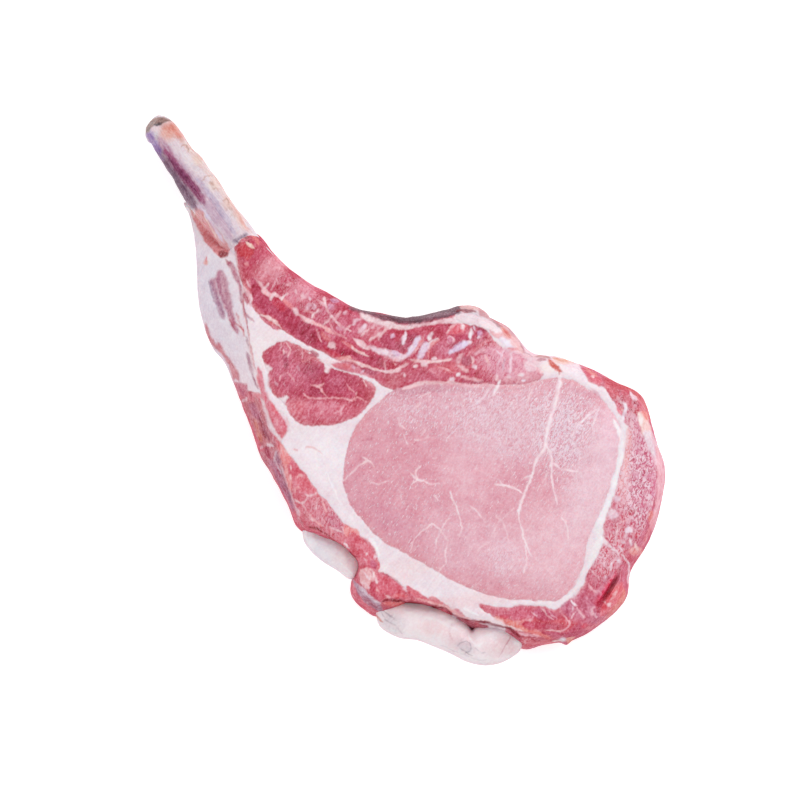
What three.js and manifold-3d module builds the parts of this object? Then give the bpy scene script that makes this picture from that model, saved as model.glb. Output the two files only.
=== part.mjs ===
// A long-boned rib chop of raw pork, lying flat on its cut face.
//
// Millimetres, +Z up. The underside lies on z = 0 and the origin is under the middle of the chop.
// The frenched rib points to the upper left (-X, +Y), the loin eye lies to the right and the fat
// side of the back to the lower left.
//
// The slice is one closed blank: a rim of stations, each with a point on the upper cut face and a
// point where the outside of the meat is widest. The muscles are upright prisms of that blank, the
// fat between and around them is what remains, and the rib is a lofted bone that runs through it.

import * as THREE from 'three';
import { mergeVertices } from 'three/addons/utils/BufferGeometryUtils.js';
import Module from 'manifold-3d';

const wasm = await Module();
wasm.setup();

// ---------------------------------------------------------------- driving dimensions

const FACE_HEIGHT = 25;          // thickness of the slice
const WIDEST_HEIGHT = 6;         // height at which the outside of the meat is widest
const UNDERSIDE_INSET = 3;       // how far the underside stays inside the widest line
const NARROW_WIDTH = 10;         // where the slice is narrower than this, the inset shrinks
const FULL_SHOULDER = [0.8, 0.5];     // control point of the side's curve, as shares of its
const HOLLOW_SHOULDER = [0.35, 0.3];  // flare and height: full all round, hollow at the bone end
const HOLLOW_FLARE = [16, 22];        // the flares between which the side turns hollow
const GAP = 0.3;                 // clearance between neighbouring solids
const SWELL = 0.5;               // slow rise and fall of the cut face
const SWELL_LENGTH = 33;         // distance over which the swell turns

const COLUMNS = 48;              // steps of the face from the bone end to the far corner
const ROWS = 12;                 // steps of the face from the rib side to the fat side
const WALL_STEPS = 5;            // steps of the side above its widest line
const FOOT_STEPS = 2;            // steps below it
const OUTLINE_STEP = 3.5;        // spacing of the points along a muscle's outline

// ---------------------------------------------------------------- the rim of the slice

// Each station: x and y on the upper face, x and y at the widest line.
// Along the rib side, from the bone end to the shoulder.
const RIB_SIDE = [
  [-59.9, 50.2, -79.8, 68.4],
  [-58.5, 52.6, -71.5, 66.5],
  [-56.5, 54.0, -62.0, 61.5],
  [-53.6, 54.2, -52.9, 56.5],
  [-48.9, 49.5, -47.7, 50.3],
  [-42.4, 42.9, -41.8, 44.6],
  [-34.4, 37.1, -33.9, 38.8],
  [-26.0, 32.7, -25.5, 34.2],
  [-18.0, 29.1, -17.6, 30.0],
  [-7.8, 25.6, -7.4, 27.8],
  [1.6, 24.2, 2.4, 26.3],
  [11.8, 25.6, 12.0, 28.3],
  [21.3, 28.0, 20.9, 31.3],
  [28.2, 26.9, 28.7, 29.2],
  [34.7, 22.2, 36.4, 24.4],
  [39.8, 16.0, 42.3, 17.0],
  [46.4, 12.0, 47.7, 13.2],
  [55.8, 9.8, 56.2, 12.1],
  [66.0, 5.8, 66.8, 8.3],
  [75.1, 1.5, 77.1, 3.2],
];

// Round the thick cap muscle, down to the far corner.
const CAP_SIDE = [
  [83.1, -2.5, 85.7, -1.3],
  [86.4, -9.1, 89.1, -9.5],
  [89.8, -19.3, 92.6, -21.1],
  [91.5, -30.5, 94.8, -30.9],
  [89.3, -42.2, 92.5, -43.5],
  [84.5, -53.8, 88.3, -55.8],
  [79.5, -62.9, 82.9, -65.9],
  [77.3, -72.7, 80.9, -74.9],
];

// From the far corner along the fat lobes and up the sloping flank to the bone end.
const FAT_SIDE = [
  [71.1, -81.5, 73.5, -83.5],
  [61.6, -87.3, 64.2, -89.6],
  [52.5, -89.1, 53.4, -92.7],
  [43.8, -88.4, 43.7, -94.7],
  [35.1, -85.3, 35.1, -88.6],
  [24.2, -82.5, 24.2, -88.0],
  [13.6, -78.5, 13.3, -81.6],
  [2.4, -76.4, 2.0, -78.6],
  [-7.8, -76.4, -11.0, -82.9],
  [-12.9, -74.2, -18.3, -76.1],
  [-15.3, -67.6, -19.0, -70.3],
  [-16.2, -62.7, -16.8, -64.0],
  [-18.7, -58.9, -19.3, -60.0],
  [-23.8, -54.9, -24.4, -56.2],
  [-34.0, -49.8, -37.8, -51.0],
  [-38.7, -42.9, -42.2, -42.0],
  [-42.7, -31.6, -48.3, -30.5],
  [-45.3, -20.7, -53.2, -20.5],
  [-49.3, -7.6, -58.0, -7.8],
  [-53.6, 5.8, -63.5, 5.8],
  [-56.5, 18.2, -70.2, 16.4],
  [-58.0, 29.1, -73.9, 28.4],
  [-59.1, 39.6, -75.0, 41.5],
  [-59.9, 46.5, -76.1, 54.5],
  [-60.3, 49.0, -78.0, 63.3],
];

// ---------------------------------------------------------------- the muscles' outlines

const LOIN_EYE = [
  [-22.0, -31.6], [-19.8, -18.9], [-15.1, -10.2], [-6.7, -2.2], [1.6, 1.5], [16.9, 2.5],
  [35.1, 2.0], [43.8, 2.0], [51.8, 4.0], [61.3, 3.6], [67.8, -0.4], [74.0, -5.5],
  [78.4, -12.4], [78.7, -20.7], [75.5, -32.7], [70.7, -45.8], [66.7, -54.5], [64.9, -64.0],
  [61.3, -72.0], [55.5, -76.4], [49.6, -76.2], [39.5, -76.0], [27.1, -73.1], [15.5, -68.0],
  [0.9, -59.3], [-6.7, -55.6], [-14.7, -47.3], [-19.8, -40.0],
];

const SIDE_MUSCLE = [
  [-51.1, 13.5], [-43.8, 17.5], [-37.6, 16.0], [-32.2, 12.4], [-26.7, 8.4], [-16.5, 4.7],
  [-10.7, 1.5], [-11.1, -2.5], [-15.1, -7.6], [-21.3, -11.6], [-33.3, -13.1], [-39.8, -10.5],
  [-43.5, -4.7], [-48.2, -0.4], [-49.6, 6.9],
];

// The three muscles at the rim reach past it, so that they take the side of the slice too.
const CAP_MUSCLE = [
  [64.2, 10.2], [67.1, 3.6], [70.4, 1.5], [73.3, 0.4], [76.2, -3.6], [79.1, -8.0],
  [81.3, -12.4], [81.3, -18.9], [79.8, -25.5], [77.3, -34.5], [75.1, -41.1], [72.5, -49.1],
  [71.5, -57.5], [67.1, -65.8], [64.9, -70.5], [60.9, -75.6], [55.8, -79.6], [49.6, -78.2],
  [38.7, -78.9], [27.1, -78.0], [31.5, -81.5], [36.5, -84.4], [39.5, -94.5], [60.5, -100.0],
  [86.0, -90.9], [104.2, -47.3], [100.5, -3.6], [86.0, 10.9], [71.5, 16.4],
];

const FLANK_MUSCLE = [
  [-64.9, -3.6], [-51.5, -1.1], [-48.2, -6.2], [-42.7, -9.1], [-41.3, -13.8], [-44.5, -19.3],
  [-40.2, -24.7], [-35.5, -30.2], [-31.5, -36.7], [-26.4, -42.2], [-22.0, -48.0],
  [-16.5, -52.0], [-11.8, -57.5], [-8.5, -62.5], [-9.3, -66.2], [-4.9, -68.0], [0.9, -72.0],
  [7.5, -75.3], [14.7, -77.8], [17.6, -81.5], [13.3, -90.9], [-8.5, -94.5], [-30.4, -83.6],
  [-48.5, -61.8], [-64.9, -29.1],
];

const RIB_MUSCLE = [
  [-61.6, 51.3], [-60.5, 53.5], [-56.9, 56.0], [-51.5, 59.6], [-37.6, 46.5], [-21.3, 35.6],
  [-1.3, 29.8], [16.9, 32.7], [19.8, 25.1], [29.6, 21.5], [33.6, 17.1], [38.0, 13.8],
  [42.7, 12.4], [47.5, 9.1], [50.7, 5.8], [43.8, 0.4], [27.8, -0.7], [13.3, -0.7],
  [1.6, -1.1], [-6.7, 1.1], [-12.9, 5.8], [-17.6, 8.7], [-23.1, 10.5], [-28.5, 13.1],
  [-34.0, 16.0], [-39.5, 19.3], [-45.6, 22.5], [-52.5, 27.3], [-55.8, 32.0], [-58.0, 37.1],
  [-59.8, 43.6],
];

// How much each muscle stands above the fat at its middle, and over what width it rises.
const EYE_CROWN = 1.3;
const EYE_RISE = 16;
const SIDE_CROWN = 0.6;
const SIDE_RISE = 8;
const RIB_CROWN = 0.8;
const RIB_RISE = 8;

// ---------------------------------------------------------------- the rib

// Stations from the sawn tip to the rib head: x, y, height of the middle, width, depth.
const RIB_STATIONS = [
  [-91.7, 97.1, 8.0, 5.8, 8.5],
  [-90.9, 96.5, 8.0, 8.6, 10.8],
  [-89.5, 95.3, 8.0, 10.6, 12.0],
  [-87.8, 93.6, 8.2, 10.8, 12.6],
  [-85.5, 90.2, 8.6, 11.0, 12.8],
  [-82.0, 84.6, 9.2, 11.4, 13.4],
  [-78.7, 80.8, 9.8, 12.8, 14.6],
  [-75.2, 75.3, 10.6, 13.6, 16.0],
  [-68.3, 65.3, 11.8, 13.4, 17.6],
  [-61.4, 55.8, 12.4, 12.8, 18.0],
  [-54.9, 47.9, 12.4, 12.0, 17.0],
  [-47.4, 39.9, 12.0, 12.0, 16.0],
  [-39.8, 34.2, 12.0, 12.0, 15.6],
  [-30.8, 29.2, 12.0, 11.8, 15.2],
  [-16.5, 23.6, 12.0, 11.6, 15.0],
  [0.5, 20.7, 12.0, 11.4, 15.0],
  [14.7, 23.1, 12.2, 11.4, 15.6],
  [24.2, 25.5, 12.8, 12.4, 18.0],
  [30.7, 21.1, 13.0, 12.6, 20.0],
  [36.2, 16.4, 12.6, 9.0, 15.0],
];
const RIB_STEPS = 2 * (RIB_STATIONS.length - 1);
const RIB_SIDES = 14;
const RIB_FULLNESS = 0.85;       // below 1 the section is squarer than an ellipse
const SAW_SLOPE = 0.26;          // the sawn end leans back by this much for each unit of height
const SAW_REACH = 4;             // number of stations over which that lean dies out

// ---------------------------------------------------------------- the fold and the fat lobes

const FOLD_LINE = [[70.0, -78.5], [72.9, -74.5], [75.8, -70.2], [78.4, -66.2]];
const FOLD_DEPTH = 5;
const FOLD_HALF_WIDTH = 1.3;

// Each lobe is a pillow between an inner and an outer edge that meet at both ends.
const UPPER_LOBE_INNER = [
  [-36.9, -51.6], [-34.4, -50.2], [-29.3, -52.2], [-23.8, -55.3], [-18.7, -59.3],
  [-15.8, -62.2], [-15.5, -65.5],
];
const UPPER_LOBE_OUTER = [
  [-36.9, -51.6], [-36.2, -55.3], [-33.6, -58.9], [-29.5, -62.5], [-24.2, -65.8],
  [-19.1, -69.0], [-15.5, -65.5],
];
const LOWER_LOBE_INNER = [
  [-10.4, -80.7], [-7.1, -77.5], [0.2, -77.8], [7.5, -78.9], [14.4, -80.7], [19.8, -84.0],
  [22.7, -87.3], [24.9, -89.8], [27.8, -87.6], [33.3, -86.5], [39.1, -87.6], [42.7, -89.8],
  [43.5, -92.0],
];
const LOWER_LOBE_OUTER = [
  [-10.4, -80.7], [-7.5, -85.8], [-1.3, -89.5], [4.9, -90.9], [10.7, -92.7], [16.9, -95.3],
  [22.7, -98.2], [28.5, -99.6], [34.0, -99.1], [38.7, -97.1], [42.0, -94.5], [43.5, -92.0],
];
const UPPER_LOBE_MIDDLE = 10;
const UPPER_LOBE_HALF_DEPTH = 8.5;
const LOWER_LOBE_MIDDLE = 9.5;
const LOWER_LOBE_HALF_DEPTH = 8.8;
const LOBE_STEPS = 26;
const LOBE_SIDES = 12;
const LOBE_END_POWER = 3;        // how late a lobe's depth falls away towards its ends

// ---------------------------------------------------------------- curves and outlines

/** The smooth closed or open curve through a list of [x, y] points. */
function curveThrough(points, closed) {
  const corners = points.map(([x, y]) => new THREE.Vector3(x, y, 0));
  return new THREE.CatmullRomCurve3(corners, closed, 'catmullrom', 0.5);
}

/** Points about OUTLINE_STEP apart along a muscle's closed outline. */
function outlinePoints(corners) {
  const curve = curveThrough(corners, true);
  const count = Math.round(curve.getLength() / OUTLINE_STEP);
  return curve.getSpacedPoints(count).slice(0, count);
}

/** The outline pushed outwards by a distance, point by point along its normals. */
function pushedOut(points, distance) {
  const turn = Math.sign(signedArea(points));
  return points.map((point, i) => {
    const before = points[(i + points.length - 1) % points.length];
    const after = points[(i + 1) % points.length];
    const along = after.clone().sub(before).normalize();
    return new THREE.Vector3(
      point.x + turn * along.y * distance,
      point.y - turn * along.x * distance,
      0,
    );
  });
}

function signedArea(points) {
  return points.reduce((sum, a, i) => {
    const b = points[(i + 1) % points.length];
    return sum + (a.x * b.y - b.x * a.y) / 2;
  }, 0);
}

/** True if a place lies inside a closed outline. */
function isInside(points, x, y) {
  let inside = false;
  points.forEach((a, i) => {
    const b = points[(i + 1) % points.length];
    const crosses = a.y > y !== b.y > y;
    if (crosses && x < a.x + ((y - a.y) / (b.y - a.y)) * (b.x - a.x)) {
      inside = !inside;
    }
  });
  return inside;
}

/** How far a place lies inside an outline, 0 outside it. */
function depthInside(points, x, y) {
  if (!isInside(points, x, y)) {
    return 0;
  }
  const distances = points.map((a, i) => {
    const b = points[(i + 1) % points.length];
    const ab = b.clone().sub(a);
    const share = THREE.MathUtils.clamp(
      ((x - a.x) * ab.x + (y - a.y) * ab.y) / ab.lengthSq(), 0, 1);
    return Math.hypot(x - a.x - share * ab.x, y - a.y - share * ab.y);
  });
  return Math.min(...distances);
}

const eyeOutline = outlinePoints(LOIN_EYE);
const sideOutline = outlinePoints(SIDE_MUSCLE);
const ribOutline = outlinePoints(RIB_MUSCLE);
const capOutline = outlinePoints(CAP_MUSCLE);
const flankOutline = outlinePoints(FLANK_MUSCLE);

// ---------------------------------------------------------------- closed meshes and solids

/** A solid from corner points and triangles, turned to face outwards. */
function solidFrom(points, triangles) {
  const volume = triangles.reduce((sum, [a, b, c]) => {
    const cross = new THREE.Vector3().crossVectors(points[b], points[c]);
    return sum + points[a].dot(cross) / 6;
  }, 0);
  const outward = volume < 0 ? triangles.map(([a, b, c]) => [a, c, b]) : triangles;
  const vertProperties = new Float32Array(points.flatMap((p) => [p.x, p.y, p.z]));
  const triVerts = new Uint32Array(outward.flat());
  return new wasm.Manifold(new wasm.Mesh({ numProp: 3, vertProperties, triVerts }));
}

/** The solid of an upright prism through the whole slice, from its outline. */
function uprightPrism(points) {
  const shape = new THREE.Shape(points.map((p) => new THREE.Vector2(p.x, p.y)));
  const height = 3 * FACE_HEIGHT;
  const prism = new THREE.ExtrudeGeometry(shape, { depth: height, bevelEnabled: false });
  prism.translate(0, 0, -FACE_HEIGHT);
  prism.deleteAttribute('normal');
  prism.deleteAttribute('uv');
  const merged = mergeVertices(prism, 1e-4);
  const vertProperties = new Float32Array(merged.attributes.position.array);
  const triVerts = new Uint32Array(merged.index.array);
  return new wasm.Manifold(new wasm.Mesh({ numProp: 3, vertProperties, triVerts }));
}

/** A closed loft: rings of equally many points, each end closed by a fan to its middle. */
function loft(rings) {
  const sides = rings[0].length;
  const points = rings.flat();
  const triangles = [];
  for (let i = 0; i + 1 < rings.length; i += 1) {
    for (let j = 0; j < sides; j += 1) {
      const a = i * sides + j;
      const b = i * sides + ((j + 1) % sides);
      triangles.push([a, b, b + sides], [a, b + sides, a + sides]);
    }
  }
  [0, rings.length - 1].forEach((end) => {
    const middle = new THREE.Vector3();
    rings[end].forEach((p) => middle.add(p));
    const hub = points.push(middle.divideScalar(sides)) - 1;
    for (let j = 0; j < sides; j += 1) {
      const a = end * sides + j;
      const b = end * sides + ((j + 1) % sides);
      triangles.push(end === 0 ? [b, a, hub] : [a, b, hub]);
    }
  });
  return solidFrom(points, triangles);
}

/** The largest body of a solid, without the scraps that a cut leaves. */
function largestBody(solid) {
  const bodies = solid.decompose();
  return bodies.reduce((best, body) => (body.volume() > best.volume() ? body : best));
}

// ---------------------------------------------------------------- the blank

/** Height of the upper face: a slow swell, and the crowns of the broad muscles. */
function faceHeight(x, y) {
  const swell = Math.sin(x / SWELL_LENGTH + 0.6) * Math.cos(y / SWELL_LENGTH - 0.4);
  const crown = (outline, height, rise) => {
    const share = Math.min(depthInside(outline, x, y) / rise, 1);
    return height * share * (2 - share);
  };
  return FACE_HEIGHT
    + SWELL * swell
    + crown(eyeOutline, EYE_CROWN, EYE_RISE)
    + crown(sideOutline, SIDE_CROWN, SIDE_RISE)
    + crown(ribOutline, RIB_CROWN, RIB_RISE);
}

/** One rim point on the face and at the widest line, by its station number. */
function rimReader(grow) {
  const stations = [...RIB_SIDE, ...CAP_SIDE, ...FAT_SIDE];
  const face = curveThrough(stations.map((s) => [s[0], s[1]]), true);
  const foot = curveThrough(stations.map((s) => [s[2], s[3]]), true);
  return (station) => {
    const t = (station / stations.length) % 1;
    const along = foot.getTangent(t);
    const outward = new THREE.Vector3(-along.y, along.x, 0).multiplyScalar(grow);
    return { face: face.getPoint(t).add(outward), foot: foot.getPoint(t).add(outward) };
  };
}

/**
 * The whole slice. The face is a lens of columns: column i joins a point of the rib and cap
 * sides to the point of the fat side with the same share of the way, and the two meet at the
 * bone end and at the far corner. grow pushes the sides outwards.
 */
function blank(grow) {
  const readRim = rimReader(grow);
  const cornerStation = RIB_SIDE.length + CAP_SIDE.length - 1;
  const lastStation = RIB_SIDE.length + CAP_SIDE.length + FAT_SIDE.length;
  const ribEdge = [];
  const fatEdge = [];
  for (let i = 0; i <= COLUMNS; i += 1) {
    const share = i / COLUMNS;
    ribEdge.push(readRim(cornerStation * share));
    fatEdge.push(readRim(lastStation - (lastStation - cornerStation) * share));
  }
  const points = [];
  const triangles = [];
  const addFace = (x, y) => points.push(new THREE.Vector3(x, y, faceHeight(x, y))) - 1;

  // The upper face: rows between the two edges, each column ending on the rim.
  const grid = ribEdge.map((rib, i) => {
    const a = rib.face;
    const b = fatEdge[i].face;
    if (i === 0 || i === COLUMNS) {
      return Array(ROWS + 1).fill(addFace(a.x, a.y));
    }
    return Array.from({ length: ROWS + 1 }, (_, j) => {
      const p = a.clone().lerp(b, j / ROWS);
      return addFace(p.x, p.y);
    });
  });
  const addTriangle = (a, b, c) => {
    if (a !== b && b !== c && c !== a) {
      triangles.push([a, b, c]);
    }
  };
  for (let i = 0; i < COLUMNS; i += 1) {
    for (let j = 0; j < ROWS; j += 1) {
      addTriangle(grid[i][j], grid[i][j + 1], grid[i + 1][j + 1]);
      addTriangle(grid[i][j], grid[i + 1][j + 1], grid[i + 1][j]);
    }
  }

  // The rim in one closed round, with the middle of each point's column.
  const rim = [];
  for (let i = 0; i < COLUMNS; i += 1) {
    rim.push({ top: grid[i][0], ...ribEdge[i], across: fatEdge[i].foot });
  }
  for (let i = COLUMNS; i > 0; i -= 1) {
    rim.push({ top: grid[i][ROWS], ...fatEdge[i], across: ribEdge[i].foot });
  }

  // The sides: a curve from the face out to the widest line, then a quarter round to the base.
  let above = rim.map((r) => r.top);
  for (let k = 1; k <= WALL_STEPS + FOOT_STEPS; k += 1) {
    const below = rim.map((r) => points.push(sidePoint(r, points[r.top].z, k)) - 1);
    rim.forEach((_, j) => {
      const next = (j + 1) % rim.length;
      triangles.push([above[j], below[next], below[j]], [above[j], above[next], below[next]]);
    });
    above = below;
  }

  // The flat underside.
  const base = above.map((index) => new THREE.Vector2(points[index].x, points[index].y));
  THREE.ShapeUtils.triangulateShape(base, []).forEach(([a, b, c]) => {
    triangles.push(orientedDown(base, a, b, c).map((corner) => above[corner]));
  });
  return solidFrom(points, triangles);
}

/** A point of the side at step k: above the widest line a quadratic curve, below a quarter round. */
function sidePoint({ face, foot, across }, top, k) {
  if (k <= WALL_STEPS) {
    const s = k / WALL_STEPS;
    const hollow = THREE.MathUtils.smoothstep(face.distanceTo(foot), ...HOLLOW_FLARE);
    const shoulder = FULL_SHOULDER.map((full, i) => (
      THREE.MathUtils.lerp(full, HOLLOW_SHOULDER[i], hollow)
    ));
    const out = 2 * s * (1 - s) * shoulder[0] + s * s;
    const up = (1 - s) * (1 - s) + 2 * s * (1 - s) * shoulder[1];
    const p = face.clone().lerp(foot, out);
    return p.setZ(WIDEST_HEIGHT + (top - WIDEST_HEIGHT) * up);
  }
  const angle = ((k - WALL_STEPS) / FOOT_STEPS) * (Math.PI / 2);
  const inward = across.clone().sub(foot);
  const room = 1 - Math.exp(-inward.length() / NARROW_WIDTH);
  const inset = UNDERSIDE_INSET * room * (1 - Math.cos(angle));
  const p = foot.clone().addScaledVector(inward.normalize(), inset);
  return p.setZ(WIDEST_HEIGHT * (1 - Math.sin(angle)));
}

function orientedDown(points, a, b, c) {
  const area = signedArea([points[a], points[b], points[c]]);
  return area > 0 ? [a, c, b] : [a, b, c];
}

// ---------------------------------------------------------------- bone, fold and lobes

/** The rib as a loft of rounded sections along its bend, grown by a clearance on every side. */
function rib(grow) {
  const places = new THREE.CatmullRomCurve3(
    RIB_STATIONS.map(([x, y, z]) => new THREE.Vector3(x, y, z)), false, 'catmullrom', 0.5);
  const sizes = new THREE.CatmullRomCurve3(
    RIB_STATIONS.map(([, , , width, depth]) => new THREE.Vector3(width, depth, 0)),
    false, 'catmullrom', 0.5);
  const section = (t, scale, push) => {
    const middle = places.getPoint(t);
    const size = sizes.getPoint(t);
    const along = places.getTangent(t).setZ(0).normalize();
    const across = new THREE.Vector3(-along.y, along.x, 0);
    const lean = SAW_SLOPE * Math.max(0, 1 - (t * (RIB_STATIONS.length - 1)) / SAW_REACH);
    return Array.from({ length: RIB_SIDES }, (_, j) => {
      const angle = (j / RIB_SIDES) * 2 * Math.PI;
      const out = rounded(Math.cos(angle)) * (size.x / 2 + grow) * scale;
      const up = rounded(Math.sin(angle)) * (size.y / 2 + grow) * scale;
      return middle.clone()
        .addScaledVector(across, out)
        .addScaledVector(along, push + lean * up)
        .add(new THREE.Vector3(0, 0, up));
    });
  };
  const rings = [section(0, 1, -grow)];
  for (let i = 1; i <= RIB_STEPS; i += 1) {
    rings.push(section(i / RIB_STEPS, 1, 0));
  }
  rings.push(section(1, 0.8, 1.5 + grow));
  rings.push(section(1, 0.45, 2.6 + grow));
  return loft(rings);
}

function rounded(value) {
  return Math.sign(value) * Math.abs(value) ** RIB_FULLNESS;
}

/** The blade that cuts the fold: a wedge along the fold line, deepest at its middle. */
function foldBlade() {
  const line = curveThrough(FOLD_LINE, false);
  const steps = 8;
  const rings = Array.from({ length: steps + 1 }, (_, i) => {
    const t = i / steps;
    const share = 0.15 + 0.85 * Math.sin(Math.PI * t);
    const middle = line.getPoint(t);
    const along = line.getTangent(t);
    const across = new THREE.Vector3(-along.y, along.x, 0);
    const place = (out, up) => middle.clone().addScaledVector(across, out).setZ(up);
    return [
      place(-2 * FOLD_HALF_WIDTH, FACE_HEIGHT + FOLD_DEPTH),
      place(2 * FOLD_HALF_WIDTH, FACE_HEIGHT + FOLD_DEPTH),
      place(0, FACE_HEIGHT - FOLD_DEPTH * share),
    ];
  });
  return loft(rings);
}

/** A lobe of fat: elliptical sections between its two edges, closed to a point at each end. */
function lobe(innerEdge, outerEdge, middleHeight, halfDepth) {
  const inner = curveThrough(innerEdge, false);
  const outer = curveThrough(outerEdge, false);
  const rings = [];
  for (let i = 1; i < LOBE_STEPS; i += 1) {
    const t = i / LOBE_STEPS;
    const a = inner.getPoint(t);
    const b = outer.getPoint(t);
    const ends = Math.abs(2 * t - 1) ** LOBE_END_POWER;
    const depth = halfDepth * Math.sqrt(1 - ends);
    rings.push(Array.from({ length: LOBE_SIDES }, (_, j) => {
      const angle = (j / LOBE_SIDES) * 2 * Math.PI;
      const p = a.clone().lerp(b, 0.5 + 0.5 * Math.cos(angle));
      return p.setZ(middleHeight + depth * Math.sin(angle));
    }));
  }
  return loft(rings);
}

// ---------------------------------------------------------------- the solids of each node

const slice = blank(0);
const grownSlice = blank(GAP);
const bone = rib(0);
const grownBone = rib(GAP);
const prisms = {
  loin_eye: eyeOutline,
  side_muscle: sideOutline,
  cap_muscle: capOutline,
  flank_muscle: flankOutline,
  rib_muscle: ribOutline,
};

// Each muscle is its prism of the slice, less the bone and the muscles cut before it.
const solids = { rib_bone: bone };
let rest = slice.subtract(grownBone);
Object.entries(prisms).forEach(([name, outline]) => {
  solids[name] = rest.intersect(uprightPrism(outline));
  rest = rest.subtract(uprightPrism(pushedOut(outline, GAP)));
});
solids.cap_muscle = solids.cap_muscle.subtract(foldBlade());
solids.seam_fat = rest;
solids.fat_lobe_upper = lobe(
  UPPER_LOBE_INNER, UPPER_LOBE_OUTER, UPPER_LOBE_MIDDLE, UPPER_LOBE_HALF_DEPTH,
).subtract(grownSlice);
solids.fat_lobe_lower = lobe(
  LOWER_LOBE_INNER, LOWER_LOBE_OUTER, LOWER_LOBE_MIDDLE, LOWER_LOBE_HALF_DEPTH,
).subtract(grownSlice);

// ---------------------------------------------------------------- colours and the group

const COLOURS = {
  rib_bone: 0xd6b6bf,
  loin_eye: 0xe3b1be,
  side_muscle: 0xc25a72,
  rib_muscle: 0xc85f76,
  cap_muscle: 0xd2778e,
  flank_muscle: 0xdc7f8f,
  seam_fat: 0xf0e2e8,
  fat_lobe_upper: 0xefe0e4,
  fat_lobe_lower: 0xe9d3d8,
};

function geometryOf(solid) {
  const mesh = solid.getMesh();
  const geometry = new THREE.BufferGeometry();
  geometry.setAttribute('position', new THREE.BufferAttribute(mesh.vertProperties, 3));
  geometry.setIndex(new THREE.BufferAttribute(mesh.triVerts, 1));
  geometry.computeVertexNormals();
  return geometry;
}

const chop = new THREE.Group();
chop.name = 'pork_chop';
Object.entries(solids).forEach(([name, solid]) => {
  const material = new THREE.MeshStandardMaterial({
    color: COLOURS[name],
    roughness: name === 'rib_bone' ? 0.5 : 0.4,
    metalness: 0,
  });
  const mesh = new THREE.Mesh(geometryOf(largestBody(solid)), material);
  mesh.name = name;
  chop.add(mesh);
});

export default chop;
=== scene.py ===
# %% [markdown]
# # A raw rib chop with its long bone
#
# The chop lies flat on its cut face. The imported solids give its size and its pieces: five muscles,
# the fat between them, two lobes of soft fat and the rib. Each solid is replaced here by a far finer
# one of the same form, and each takes a finish that follows the real tissue.

import bpy
import numpy as np
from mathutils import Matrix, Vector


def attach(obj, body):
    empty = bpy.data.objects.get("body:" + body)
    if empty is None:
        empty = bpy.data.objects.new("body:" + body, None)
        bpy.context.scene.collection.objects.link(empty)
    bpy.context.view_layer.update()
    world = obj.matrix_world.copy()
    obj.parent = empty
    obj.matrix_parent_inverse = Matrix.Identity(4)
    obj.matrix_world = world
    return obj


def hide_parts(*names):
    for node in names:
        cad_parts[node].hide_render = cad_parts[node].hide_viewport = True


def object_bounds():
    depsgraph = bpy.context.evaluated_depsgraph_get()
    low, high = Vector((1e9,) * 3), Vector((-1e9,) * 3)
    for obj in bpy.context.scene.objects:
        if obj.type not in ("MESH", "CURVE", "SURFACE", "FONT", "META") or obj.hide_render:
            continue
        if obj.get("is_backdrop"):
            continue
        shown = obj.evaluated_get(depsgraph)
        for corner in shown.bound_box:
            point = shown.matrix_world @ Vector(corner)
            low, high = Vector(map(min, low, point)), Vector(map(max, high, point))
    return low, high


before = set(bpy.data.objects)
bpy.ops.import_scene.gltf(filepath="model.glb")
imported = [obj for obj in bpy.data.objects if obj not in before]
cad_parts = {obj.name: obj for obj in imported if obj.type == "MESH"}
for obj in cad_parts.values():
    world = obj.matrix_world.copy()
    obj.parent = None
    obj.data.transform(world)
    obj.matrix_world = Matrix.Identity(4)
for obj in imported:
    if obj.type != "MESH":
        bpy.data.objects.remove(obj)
CAD_BOX = [list(corner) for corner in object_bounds()]
MM = 0.001
print("solids:", sorted(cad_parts))


# %% Objects
def new_object(name, data):
    """An object that holds the data, linked to the scene. Operators would depend on a selection."""
    made = bpy.data.objects.new(name, data)
    bpy.context.scene.collection.objects.link(made)
    return made


# %% [markdown]
# ## Camera
#
# The chop is seen from straight above. An orthographic camera could do that too, but a real lens
# always shows a little perspective, so a long lens stands far away. The outline of the widest line
# and that of the upper face then share almost one scale.

# %% Camera
PICTURE_WIDTH = 290.9         # mm that fit across the picture at the height of the slice's middle
PICTURE_CENTRE = (-1.27, -3.64)
CAMERA_HEIGHT = 3200.0        # mm above the middle of the slice
SLICE_MIDDLE = 16.0           # mm above the table
FARTHEST_SEEN = 20            # metres

lens = bpy.data.cameras.new("lens")
lens.lens = lens.sensor_width * CAMERA_HEIGHT / PICTURE_WIDTH
lens.clip_end = FARTHEST_SEEN
camera = new_object("camera", lens)
camera.location = (PICTURE_CENTRE[0] * MM, PICTURE_CENTRE[1] * MM, (CAMERA_HEIGHT + SLICE_MIDDLE) * MM)
bpy.context.scene.camera = camera
bpy.context.scene.view_settings.view_transform = "Standard"
print("lens", round(lens.lens), "mm")

# %% [markdown]
# ## Colours and shader nodes
#
# Every colour is an sRGB hex value. Shaders and attributes hold linear light, so one function turns
# the code to linear. Nodes could be set and linked line by line, but one call for each is shorter.


# %% Colours and a node helper
def linear(code):
    """Red, green and blue of a hex code, turned from sRGB to linear light."""
    share = np.array([int(code[i:i + 2], 16) for i in (1, 3, 5)]) / 255
    return np.where(share <= 0.04045, share / 12.92, ((share + 0.055) / 1.055) ** 2.4)


def add(tree, kind, inputs, **settings):
    """Adds a node. Settings are its own properties; each input is a value or another node's output."""
    node = tree.nodes.new(kind)
    for name, value in settings.items():
        setattr(node, name, value)
    for name, value in inputs.items():
        if isinstance(value, bpy.types.NodeSocket):
            tree.links.new(value, node.inputs[name])
        else:
            node.inputs[name].default_value = value
    return node


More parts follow.
